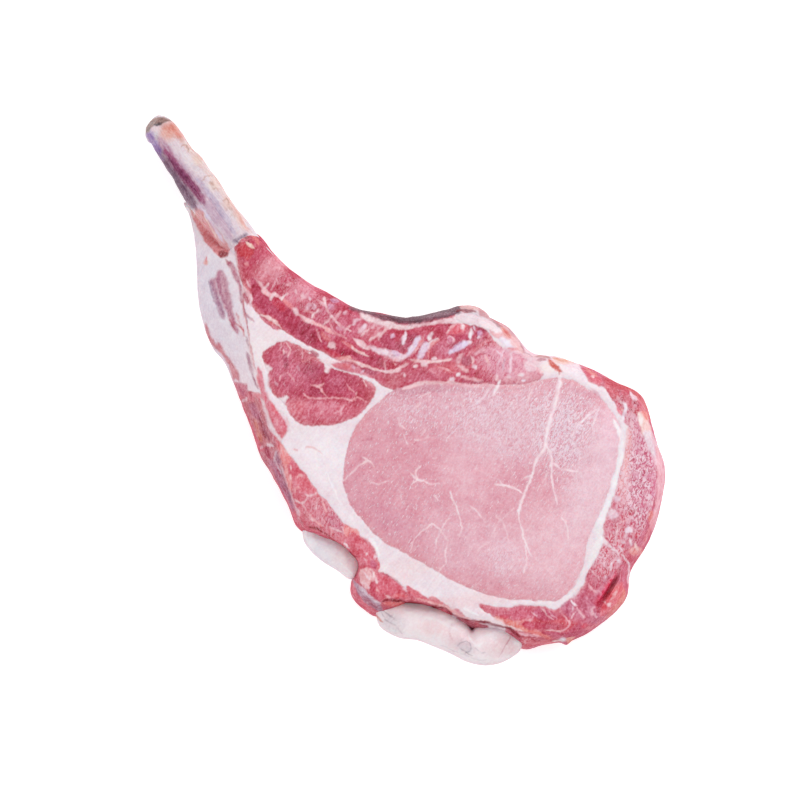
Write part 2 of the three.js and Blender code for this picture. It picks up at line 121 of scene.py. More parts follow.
def new_material(name):
    """An empty node tree with its output, and the material that holds it."""
    material = bpy.data.materials.new(name)
    material.use_nodes = True
    material.node_tree.nodes.clear()
    return material, material.node_tree


# %% [markdown]
# ## Studio
#
# Raw meat is shown in a bright, even light: a white surround with one broad soft light from the upper
# right, which gives the wet face its silvery sheen, a small bright one nearer the top, which glints on
# the wet fibre ends, and a weak one from the left. A picture of a studio could light it too, but three
# lamps say plainly where each glint comes from. The floor glows a little by itself, as a light table
# does, so that the shadow under the slice stays faint.

# %% Studio
SURROUND = 0.60
LIGHTS = {                     # place in mm, side in mm, watts
    "soft_key": ((620, 480, 900), 620, 4.6),
    "small_sparkle": ((330, 260, 950), 150, 1.0),
    "soft_fill": ((-800, -300, 900), 700, 2.2),
}
FLOOR_SIDE = 6000.0
FLOOR_GLOW = 0.56
FLOOR_GAP = 0.05               # mm that the floor lies below the meat

world = bpy.data.worlds.new("surround")
world.use_nodes = True
background = world.node_tree.nodes["Background"]
background.inputs["Color"].default_value = (1, 1, 1, 1)
background.inputs["Strength"].default_value = SURROUND
bpy.context.scene.world = world

for name, (place, side, watts) in LIGHTS.items():
    light = bpy.data.lights.new(name, "AREA")
    light.size = side * MM
    light.energy = watts
    lamp = new_object(name, light)
    lamp.location = [v * MM for v in place]
    lamp.rotation_euler = (-lamp.location).to_track_quat("-Z", "Y").to_euler()
print("lamps:", ", ".join(LIGHTS))

# %% The floor
half = FLOOR_SIDE / 2 * MM
floor_mesh = bpy.data.meshes.new("floor")
floor_mesh.from_pydata([(-half, -half, 0), (half, -half, 0), (half, half, 0), (-half, half, 0)],
                       [], [(0, 1, 2, 3)])
floor = new_object("floor", floor_mesh)
floor.location.z = -FLOOR_GAP * MM
paper, tree = new_material("white_paper")
finish = add(tree, "ShaderNodeBsdfPrincipled", {
    "Base Color": (0.82, 0.82, 0.82, 1), "Roughness": 0.9, "Specular IOR Level": 0.1,
    "Emission Color": (1, 1, 1, 1), "Emission Strength": FLOOR_GLOW})
add(tree, "ShaderNodeOutputMaterial", {"Surface": finish.outputs["BSDF"]})
floor_mesh.materials.append(paper)
floor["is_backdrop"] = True
print("floor:", FLOOR_SIDE, "mm square")

# %% [markdown]
# ## Curves, noise and distances
#
# Three things carry the whole model: a smooth curve through given points, a smooth random field, and
# the distance from a place to a line. Curve objects and texture nodes could give them too, but numpy
# answers for half a million places at once.


# %% Curves
def curve_at(points, station, closed):
    """Uniform Catmull-Rom curve: between neighbours b and c the cubic that leaves b along half of
    c - a and reaches c along half of d - b, where a and d are the points before and after."""
    points = np.asarray(points, float)
    count = len(points)
    if closed:
        first = np.floor(station).astype(int)
        a, b, c, d = (points[(first + k) % count] for k in (-1, 0, 1, 2))
    else:
        ends = [2 * points[0] - points[1]], [2 * points[-1] - points[-2]]
        padded = np.vstack([ends[0], points, ends[1]])
        first = np.clip(np.floor(station).astype(int), 0, count - 2)
        a, b, c, d = (padded[first + k] for k in range(4))
    t = (station - first)[:, None]
    leave, reach = (c - a) / 2, (d - b) / 2
    return ((2 * t**3 - 3 * t**2 + 1) * b + (t**3 - 2 * t**2 + t) * leave
            + (3 * t**2 - 2 * t**3) * c + (t**3 - t**2) * reach)


def smooth_line(points, steps=6, closed=False):
    """The curve through the points, read at `steps` even steps between neighbours."""
    spans = len(points) if closed else len(points) - 1
    count = spans * steps + (0 if closed else 1)
    return curve_at(points, np.arange(count) / steps, closed)


def even_outline(corners, spacing):
    """A closed curve through the corners, read again at even distances along its length."""
    line = smooth_line(corners, 24, closed=True)
    loop = np.vstack([line, line[:1]])
    length = np.concatenate([[0], np.cumsum(np.hypot(*np.diff(loop, axis=0).T))])
    wanted = np.linspace(0, length[-1], int(length[-1] / spacing), endpoint=False)
    return np.stack([np.interp(wanted, length, loop[:, k]) for k in (0, 1)], axis=1)


# %% Noise
LATTICE, LATTICE_SHIFT = 64, 500     # values each way in a noise's table, and its first place
FIRST_TURN, TURN_STEP = 0.5, 1.1     # radians that the lattice of each octave is turned
NOISE_GAIN = 1.4               # a mix of corners seldom comes near -1 or 1, so it is stretched
SEEDS = {                      # first seed of each noise; its octaves and layers take the next ones
    "stroke_width": 7, "stroke_strength": 9, "wander_x": 11, "wander_y": 31, "bumps": 50, "side": 70,
    "bone": 90, "lobe": 110, "cut": 130,
}


def ease(share):
    """Smooth step: 0 below 0, 1 above 1, and 3s^2 - 2s^3 between."""
    share = np.clip(share, 0, 1)
    return share * share * (3 - 2 * share)


def noise(x, y, size, seed, octaves=2):
    """Smooth random field of about -1 to 1. Each octave draws values on a turned square lattice,
    eases between its four corners, and is half as large and half as strong as the one before."""
    total, gain, gains = 0, 1.0, 0.0
    for octave in range(octaves):
        table = np.random.default_rng(seed + octave).uniform(-1, 1, (LATTICE, LATTICE))
        turn = FIRST_TURN + TURN_STEP * octave + seed
        u = (x * np.cos(turn) - y * np.sin(turn)) / size + LATTICE_SHIFT
        v = (x * np.sin(turn) + y * np.cos(turn)) / size + LATTICE_SHIFT
        i, j = np.floor(u).astype(int), np.floor(v).astype(int)
        a, b = ease(u - i), ease(v - j)
        i, j = i % LATTICE, j % LATTICE
        i_next, j_next = (i + 1) % LATTICE, (j + 1) % LATTICE
        low = table[i, j] * (1 - a) + table[i_next, j] * a
        high = table[i, j_next] * (1 - a) + table[i_next, j_next] * a
        total = total + gain * (low * (1 - b) + high * b)
        gains += gain
        gain, size = gain / 2, size / 2
    return total / gains * NOISE_GAIN


def layered(layers, x, y, use, octaves=2):
    """The sum of noises that are given by size and height, each with its own seed."""
    return sum(height * noise(x, y, size, SEEDS[use] + k, octaves)
               for k, (size, height) in enumerate(layers))


# %% Directions and distances
TINY = 1e-6                    # a length that no real distance comes down to, mm


def unit(vectors):
    """The vectors shortened or stretched to length 1, along the last axis."""
    return vectors / np.maximum(np.linalg.norm(vectors, axis=-1, keepdims=True), TINY)


def distance_to(line, x, y, closed=False):
    """Distance from each place to a line of short straight pieces, and the share of the line's
    points that lie before its nearest place. The loop runs over the pieces, not over the places."""
    starts = line if closed else line[:-1]
    ends = np.roll(line, -1, axis=0) if closed else line[1:]
    best = np.full(np.shape(x), np.inf)
    along = np.zeros(np.shape(x))
    for k, ((ax, ay), (bx, by)) in enumerate(zip(starts, ends)):
        dx, dy = bx - ax, by - ay
        t = np.clip(((x - ax) * dx + (y - ay) * dy) / max(dx * dx + dy * dy, 1e-9), 0, 1)
        gap = np.hypot(x - ax - t * dx, y - ay - t * dy)
        nearer = gap < best
        best = np.where(nearer, gap, best)
        along = np.where(nearer, (k + t) / len(starts), along)
    return best, along


def inside(line, x, y):
    """True inside a closed line: a ray to the right crosses it an odd number of times."""
    odd = np.zeros(np.shape(x), bool)
    for (ax, ay), (bx, by) in zip(line, np.roll(line, -1, axis=0)):
        if ay != by:
            crosses = (ay > y) != (by > y)
            odd ^= crosses & (x < ax + (y - ay) / (by - ay) * (bx - ax))
    return odd


def depth_inside(line, x, y):
    """Signed distance to a closed line, positive inside it."""
    gap = distance_to(line, x, y, closed=True)[0]
    return np.where(inside(line, x, y), gap, -gap)


# %% [markdown]
# ## The outline of the slice
#
# A chop is a slice, so its form is an outline more than anything else. It could be a curve object,
# but the same points also cut the muscles and bound their tints. The tables are those of the solids,
# in millimetres. Each station of the rim has a point on the upper cut face and a point at the widest
# line, six millimetres above the table.

# %% The rim and the muscles
RIB_SIDE = [
    (-59.9, 50.2, -79.8, 68.4), (-58.5, 52.6, -71.5, 66.5), (-56.5, 54.0, -62.0, 61.5),
    (-53.6, 54.2, -52.9, 56.5), (-48.9, 49.5, -47.7, 50.3), (-42.4, 42.9, -41.8, 44.6),
    (-34.4, 37.1, -33.9, 38.8), (-26.0, 32.7, -25.5, 34.2), (-18.0, 29.1, -17.6, 30.0),
    (-7.8, 25.6, -7.4, 27.8), (1.6, 24.2, 2.4, 26.3), (11.8, 25.6, 12.0, 28.3),
    (21.3, 28.0, 20.9, 31.3), (28.2, 26.9, 28.7, 29.2), (34.7, 22.2, 36.4, 24.4),
    (39.8, 16.0, 42.3, 17.0), (46.4, 12.0, 47.7, 13.2), (55.8, 9.8, 56.2, 12.1),
    (66.0, 5.8, 66.8, 8.3), (75.1, 1.5, 77.1, 3.2),
]
CAP_SIDE = [
    (83.1, -2.5, 85.7, -1.3), (86.4, -9.1, 89.1, -9.5), (89.8, -19.3, 92.6, -21.1),
    (91.5, -30.5, 94.8, -30.9), (89.3, -42.2, 92.5, -43.5), (84.5, -53.8, 88.3, -55.8),
    (79.5, -62.9, 82.9, -65.9), (77.3, -72.7, 80.9, -74.9),
]
FAT_SIDE = [
    (71.1, -81.5, 73.5, -83.5), (61.6, -87.3, 64.2, -89.6), (52.5, -89.1, 53.4, -92.7),
    (43.8, -88.4, 43.7, -94.7), (35.1, -85.3, 35.1, -88.6), (24.2, -82.5, 24.2, -88.0),
    (13.6, -78.5, 13.3, -81.6), (2.4, -76.4, 2.0, -78.6), (-7.8, -76.4, -11.0, -82.9),
    (-12.9, -74.2, -18.3, -76.1), (-15.3, -67.6, -19.0, -70.3), (-16.2, -62.7, -16.8, -64.0),
    (-18.7, -58.9, -19.3, -60.0), (-23.8, -54.9, -24.4, -56.2), (-34.0, -49.8, -37.8, -51.0),
    (-38.7, -42.9, -42.2, -42.0), (-42.7, -31.6, -48.3, -30.5), (-45.3, -20.7, -53.2, -20.5),
    (-49.3, -7.6, -58.0, -7.8), (-53.6, 5.8, -63.5, 5.8), (-56.5, 18.2, -70.2, 16.4),
    (-58.0, 29.1, -73.9, 28.4), (-59.1, 39.6, -75.0, 41.5), (-59.9, 46.5, -76.1, 54.5),
    (-60.3, 49.0, -78.0, 63.3),
]
MUSCLES = {
    "loin_eye": [
        (-22.0, -31.6), (-19.8, -18.9), (-15.1, -10.2), (-6.7, -2.2), (1.6, 1.5), (16.9, 2.5),
        (35.1, 2.0), (43.8, 2.0), (51.8, 4.0), (61.3, 3.6), (67.8, -0.4), (74.0, -5.5),
        (78.4, -12.4), (78.7, -20.7), (75.5, -32.7), (70.7, -45.8), (66.7, -54.5),
        (64.9, -64.0), (61.3, -72.0), (55.5, -76.4), (49.6, -76.2), (39.5, -76.0),
        (27.1, -73.1), (15.5, -68.0), (0.9, -59.3), (-6.7, -55.6), (-14.7, -47.3),
        (-19.8, -40.0),
    ],
    "side_muscle": [
        (-51.1, 13.5), (-43.8, 17.5), (-37.6, 16.0), (-32.2, 12.4), (-26.7, 8.4), (-16.5, 4.7),
        (-10.7, 1.5), (-11.1, -2.5), (-15.1, -7.6), (-21.3, -11.6), (-33.3, -13.1),
        (-39.8, -10.5), (-43.5, -4.7), (-48.2, -0.4), (-49.6, 6.9),
    ],
    "cap_muscle": [
        (64.2, 10.2), (67.1, 3.6), (70.4, 1.5), (73.3, 0.4), (76.2, -3.6), (79.1, -8.0),
        (81.3, -12.4), (81.3, -18.9), (79.8, -25.5), (77.3, -34.5), (75.1, -41.1),
        (72.5, -49.1), (71.5, -57.5), (67.1, -65.8), (64.9, -70.5), (60.9, -75.6),
        (55.8, -79.6), (49.6, -78.2), (38.7, -78.9), (27.1, -78.0), (31.5, -81.5),
        (36.5, -84.4), (39.5, -94.5), (60.5, -100.0), (86.0, -90.9), (104.2, -47.3),
        (100.5, -3.6), (86.0, 10.9), (71.5, 16.4),
    ],
    "flank_muscle": [
        (-64.9, -3.6), (-51.5, -1.1), (-48.2, -6.2), (-42.7, -9.1), (-41.3, -13.8),
        (-44.5, -19.3), (-40.2, -24.7), (-35.5, -30.2), (-31.5, -36.7), (-26.4, -42.2),
        (-22.0, -48.0), (-16.5, -52.0), (-11.8, -57.5), (-8.5, -62.5), (-9.3, -66.2),
        (-4.9, -68.0), (0.9, -72.0), (7.5, -75.3), (14.7, -77.8), (17.6, -81.5),
        (13.3, -90.9), (-8.5, -94.5), (-30.4, -83.6), (-48.5, -61.8), (-64.9, -29.1),
    ],
    "rib_muscle": [
        (-61.6, 51.3), (-60.5, 53.5), (-56.9, 56.0), (-51.5, 59.6), (-37.6, 46.5),
        (-21.3, 35.6), (-1.3, 29.8), (16.9, 32.7), (19.8, 25.1), (29.6, 21.5), (33.6, 17.1),
        (38.0, 13.8), (42.7, 12.4), (47.5, 9.1), (50.7, 5.8), (43.8, 0.4), (27.8, -0.7),
        (13.3, -0.7), (1.6, -1.1), (-6.7, 1.1), (-12.9, 5.8), (-17.6, 8.7), (-23.1, 10.5),
        (-28.5, 13.1), (-34.0, 16.0), (-39.5, 19.3), (-45.6, 22.5), (-52.5, 27.3),
        (-55.8, 32.0), (-58.0, 37.1), (-59.8, 43.6),
    ],
}
OUTLINE_SPACING = 0.8
outlines = {name: even_outline(corners, OUTLINE_SPACING) for name, corners in MUSCLES.items()}
print("outline points:", {name: len(line) for name, line in outlines.items()})

# %% [markdown]
# ## Depth maps
#
# Many places are asked how deep they lie inside a muscle's outline. The outline is long, so the
# answer is worked out once on a square raster and then read between its points.

# %% Depth maps
MAP_STEP = 0.5
MAP_LOW, MAP_HIGH = -110.0, 110.0


def depth_map(line):
    """The signed depth inside a closed line at every point of the raster."""
    ticks = np.arange(MAP_LOW, MAP_HIGH + MAP_STEP, MAP_STEP)
    x, y = np.meshgrid(ticks, ticks, indexing="ij")
    return depth_inside(line, x, y)


def read_map(depths, x, y):
    """The raster's value between its four nearest points, mixed by how near each one is."""
    u, v = ((np.clip(w, MAP_LOW, MAP_HIGH - MAP_STEP) - MAP_LOW) / MAP_STEP for w in (x, y))
    i, j = np.floor(u).astype(int), np.floor(v).astype(int)
    a, b = u - i, v - j
    return ((depths[i, j] * (1 - a) + depths[i + 1, j] * a) * (1 - b)
            + (depths[i, j + 1] * (1 - a) + depths[i + 1, j + 1] * a) * b)


depth_maps = {name: depth_map(line) for name, line in outlines.items()}
print("raster:", depth_maps["loin_eye"].shape, "points,", MAP_STEP, "mm apart")

# %% [markdown]
# ## Marks on the cut face
#
# Real meat isn't one colour. Seams of fat, veins, blood marks and thin skins cross it, and each also
# stands a little above or below its surroundings. They could be painted on a texture and sculpted
# again on the mesh, but a list of marks serves both: it moves the surface by tenths of a millimetre,
# and it tints it. A mark is a row of whole numbers after its colour: places and widths in tenths of a
# millimetre, strengths in percent of the old tint hidden, heights in hundredths of a millimetre.
# Some marks are painted light: glints on the wet lean and the lobes, and shade in clefts and creases.

# %% How marks are measured
TENTH, PERCENT = 0.1, 0.01
WARP_SIZES = ((5.0, 0.20), (1.6, 0.16), (0.8, 0.12))   # size and reach of the wander of edges, mm
STROKE_UNEVEN = ((2.2, 0.40), (3.0, 0.20))   # size in mm and share, of the width and the strength
VEIN_WIDTH = 1.2               # wider strokes are more even, mm
EDGE_LEAST, EDGE_SHARE = 0.11, 0.20   # a stroke's soft edge: a least part, and a share of its width
PALE_RISE, LEAN_DROP = 0.10, 0.20     # height of a pale stroke, and how much lower a dark one is, mm
TIP_WIDTH = 0.33               # width of a stroke's ends, as a share of its middle
PALE_GREEN, LEAN_SPAN = 205, 50      # green parts: fat has the first or more, full lean so much less


def wander(x, y):
    """Moves places by a small smooth noise, so that no edge of a mark stays smooth."""
    for k, (size, reach) in enumerate(WARP_SIZES):
        x, y = (x + reach * noise(x, y, size, SEEDS["wander_x"] + k, 1),
                y + reach * noise(x, y, size, SEEDS["wander_y"] + k, 1))
    return x, y


def near(x, y, low, high):
    """Numbers of the places inside a box, the only ones that are worth measuring."""
    return np.flatnonzero((x > low[0]) & (x < high[0]) & (y > low[1]) & (y < high[1]))


def in_ellipse(x, y, middle, radii, turn):
    """How far out each place lies in a turned ellipse: 0 at its middle, 1 on its line. The place is
    turned back by the angle, divided by the radii, and its distance to the middle taken."""
    dx, dy, angle = x - middle[0], y - middle[1], np.radians(turn)
    u = (dx * np.cos(angle) + dy * np.sin(angle)) / radii[0]
    v = (-dx * np.sin(angle) + dy * np.cos(angle)) / radii[1]
    return np.hypot(u, v)


def leanness(code):
    """How lean a tint looks: none for a pale one, full for a deep red, by its green part."""
    return float(np.clip((PALE_GREEN - int(code[3:5], 16)) / LEAN_SPAN, 0, 1))


def places_of(numbers):
    """Places in mm along a mark, from the first place and the step to each next one."""
    return np.cumsum(np.reshape(numbers, (-1, 2)), axis=0) * TENTH


# %% How a mark covers a place
def cover_of_spot(mark, x, y):
    """An ellipse with a soft rim: full inside it, and eased out between 1 - softness and
    1 + softness times its size."""
    _, strength, softness, middle_x, middle_y, radius_x, radius_y, turn = mark
    soft, middle = softness * PERCENT, np.array([middle_x, middle_y]) * TENTH
    radii = np.array([radius_x, radius_y]) * TENTH
    reach = max(radii) * (1 + soft)
    some = near(x, y, middle - reach, middle + reach)
    out = in_ellipse(x[some], y[some], middle, radii, turn)
    return some, strength * PERCENT * ease((1 + soft - out) / (2 * soft)), 0.0


def cover_of_patch(mark, x, y):
    """Full inside the closed line, eased over the soft edge on both sides of it."""
    _, edge, strength, height, *numbers = mark
    edge = edge * TENTH
    line = smooth_line(places_of(numbers), 4, closed=True)
    some = near(x, y, line.min(0) - edge, line.max(0) + edge)
    share = ease(0.5 + depth_inside(line, x[some], y[some]) / (2 * edge))
    return some, strength * PERCENT * share, height * PERCENT


def cover_of_cleft(mark, x, y):
    """Full within half the width of the line, then eased out over the soft edge. The width falls to
    a third towards both ends, as sqrt(4t(1 - t)) does. Width and strength of a thin one also swing
    with a noise, as those of real veins do."""
    _, width, edge, strength, height, *numbers = mark
    width, edge, points = width * TENTH, edge * TENTH, places_of(numbers)
    line = smooth_line(points, 5) if len(points) > 2 else points
    some = near(x, y, line.min(0) - width - edge, line.max(0) + width + edge)
    u, v = x[some], y[some]
    gap, along = distance_to(line, u, v)
    (wide_size, wide), (weak_size, weak) = STROKE_UNEVEN
    swing = min(1, VEIN_WIDTH / width)
    taper = np.sqrt(np.clip(4 * along * (1 - along), 0, 1))
    half = width / 2 * (TIP_WIDTH + (1 - TIP_WIDTH) * taper)
    half = half * (1 + swing * wide * noise(u, v, wide_size, SEEDS["stroke_width"]))
    full = np.clip(1 + swing * weak * (2 * noise(u, v, weak_size, SEEDS["stroke_strength"]) - 1), 0, 1)
    return some, strength * PERCENT * full * ease((half + edge - gap) / (2 * edge)), height * PERCENT


def cover_of_stroke(mark, x, y):
    """A cleft's cover with an edge that grows with the width, and a height that follows the colour:
    pale fat stands proud, dark lean lies lower."""
    code, width, strength, *numbers = mark
    edge = EDGE_LEAST / TENTH + EDGE_SHARE * width
    height = (PALE_RISE - LEAN_DROP * leanness(code)) / PERCENT
    return cover_of_cleft((code, width, edge, strength, height, *numbers), x, y)


# %% [markdown]
# ## The marks themselves
#
# No loop could work out where marbling runs, so each vein, seam and blood mark is listed one by one.
# Later marks lie over earlier ones. Washes tint only the tissue that they are listed under.

# %% The marks
# Washes and spots: code, strength, softness, x and y of the middle, two radii, turn in degrees.
# Patches: code, edge, strength, height, then the outline's first place and the steps round it.
# Strokes: code, width, strength, then the line's first place and the steps along it.
# Clefts: code, width, edge, strength, height, then the same as for a stroke.
WASHES = {
    "fat": [
        # Fat of the face.
        ("#f3e6e9", 70, 70, -493, 145, 58, 80, 0),
        ("#efe0e6", 70, 70, -376, -109, 73, 51, 30),
        ("#f4e9ef", 80, 70, -285, -236, 80, 87, 20),
        ("#f2dade", 60, 60, -13, -662, 182, 44, 20),
        ("#f0c8bb", 80, 60, 584, 104, 40, 11, 0),
        ("#f0d2d7", 60, 60, 242, -764, 182, 25, 8),
    ],
    "rib_muscle": [
        # The muscle along the rib, its long bundles lighter above and deep red below.
        ("#e69ba8", 80, 60, -478, 444, 95, 36, 40),
        ("#e2929f", 70, 60, -358, 364, 73, 29, 35),
        ("#d9768c", 80, 60, -376, 345, 95, 36, 32),
        ("#cf6680", 70, 60, -296, 262, 58, 33, 40),
        ("#d4728a", 80, 60, -187, 233, 87, 36, 25),
        ("#de8a98", 70, 60, -115, 218, 44, 33, 15),
        ("#c95a74", 70, 60, 104, 204, 58, 22, 5),
        ("#cf6c84", 85, 60, 140, 153, 33, 33, 0),
        ("#d4616f", 85, 60, 162, 80, 80, 22, 8),
        ("#cf7086", 85, 60, 89, 51, 58, 29, 0),
        ("#cf7482", 80, 60, -49, 40, 65, 25, 8),
        ("#d9768c", 80, 60, 322, 102, 58, 51, 0),
        ("#e0a0b4", 60, 60, 445, 80, 65, 44, 0),
    ],
    "side_muscle": [
        # The small dark muscle beside the eye.
        ("#bd4c68", 90, 60, -256, 44, 120, 55, 12),
        ("#cf6680", 80, 60, -431, 80, 58, 87, 25),
        ("#dd8093", 85, 60, -285, -73, 138, 36, 0),
        ("#e7939f", 60, 60, -391, -65, 44, 29, 30),
        ("#b14462", 70, 60, -333, 69, 36, 25, 0),
    ],
    "loin_eye": [
        # The pale eye.
        ("#df9dad", 70, 70, -187, -291, 51, 145, 10),
        ("#dfa2b2", 60, 70, 133, -44, 218, 58, 0),
        ("#cf8a9c", 60, 60, -5, -7, 65, 25, -20),
        ("#c98498", 50, 60, 96, 7, 109, 18, 0),
        ("#ecbbc7", 70, 70, 242, -291, 109, 124, 0),
        ("#e3b4c1", 60, 70, 351, -145, 145, 109, 0),
        ("#d995a9", 50, 70, -49, -473, 95, 51, -35),
        ("#edbfca", 80, 70, 525, -564, 160, 160, 0),
        ("#eabecb", 60, 70, 242, -564, 160, 109, -10),
        ("#d99aac", 60, 60, 642, -36, 65, 36, 20),
        ("#dba3b6", 50, 60, 591, -182, 58, 95, 20),
        ("#f0ccda", 70, 70, 744, -182, 51, 124, 0),
        ("#eecdd8", 70, 70, 685, -364, 80, 182, -15),
        ("#dc98aa", 50, 60, -195, -400, 36, 44, 40),
    ],
    "cap_muscle": [
        # The cap muscle.
        ("#d16e84", 80, 70, 805, -545, 73, 182, -10),
        ("#c95a7c", 80, 70, 860, -291, 58, 182, 0),
        ("#e0a0ac", 50, 60, 813, -291, 18, 145, -5),
        ("#dd92a3", 85, 50, 933, -335, 22, 153, 0),
        ("#c14a5e", 90, 60, 776, 18, 58, 40, 35),
        ("#bf3f5a", 90, 60, 813, -44, 44, 36, 45),
        ("#dd6a74", 85, 60, 878, -87, 22, 33, 20),
        ("#e9a0a8", 80, 60, 807, -291, 15, 102, -5),
        ("#cf7c94", 70, 60, 642, -785, 95, 44, -25),
        ("#e0727f", 70, 60, 755, -749, 22, 44, 25),
        ("#e8837f", 80, 50, 784, -742, 22, 36, 25),
        ("#d9606a", 80, 60, 533, -851, 116, 29, -5),
        ("#b94a62", 80, 60, 522, -856, 62, 15, -5),
        ("#d4788e", 60, 60, 715, -618, 58, 87, 20),
    ],
    "flank_muscle": [
        # The flank muscle along the lower left.
        ("#eb9ba0", 80, 60, -431, -225, 25, 29, 40),
        ("#d9707f", 70, 60, -376, -313, 29, 51, 40),
        ("#cf6678", 70, 60, -296, -455, 51, 51, 40),
        ("#dd7280", 70, 60, -195, -564, 65, 51, 35),
        ("#d96476", 85, 60, -53, -709, 51, 51, 30),
        ("#cf6073", 85, 50, 44, -731, 33, 20, 15),
        ("#d97080", 85, 50, 111, -764, 29, 15, 15),
    ],
}
SPOTS = [
    # The sloping flank: pale skin, with small marks.
    ("#e2dae6", 80, 60, -689, 327, 73, 218, 15),
    ("#e6d8e2", 60, 60, -645, 145, 58, 145, 25),
    ("#e8a8a0", 80, 50, -718, 465, 9, 9, 0),
    # Small spots of the face and its rim.
    ("#e8b3be", 70, 70, 413, 87, 84, 62, 0),
    ("#f6e6e6", 80, 50, 522, 80, 29, 22, 0),
    ("#dcb0b2", 80, 50, 229, 300, 24, 13, 15),
    ("#c9606f", 85, 60, 475, -900, 80, 29, -8),
    ("#e6e0e6", 80, 50, 579, -905, 15, 11, 0),
]
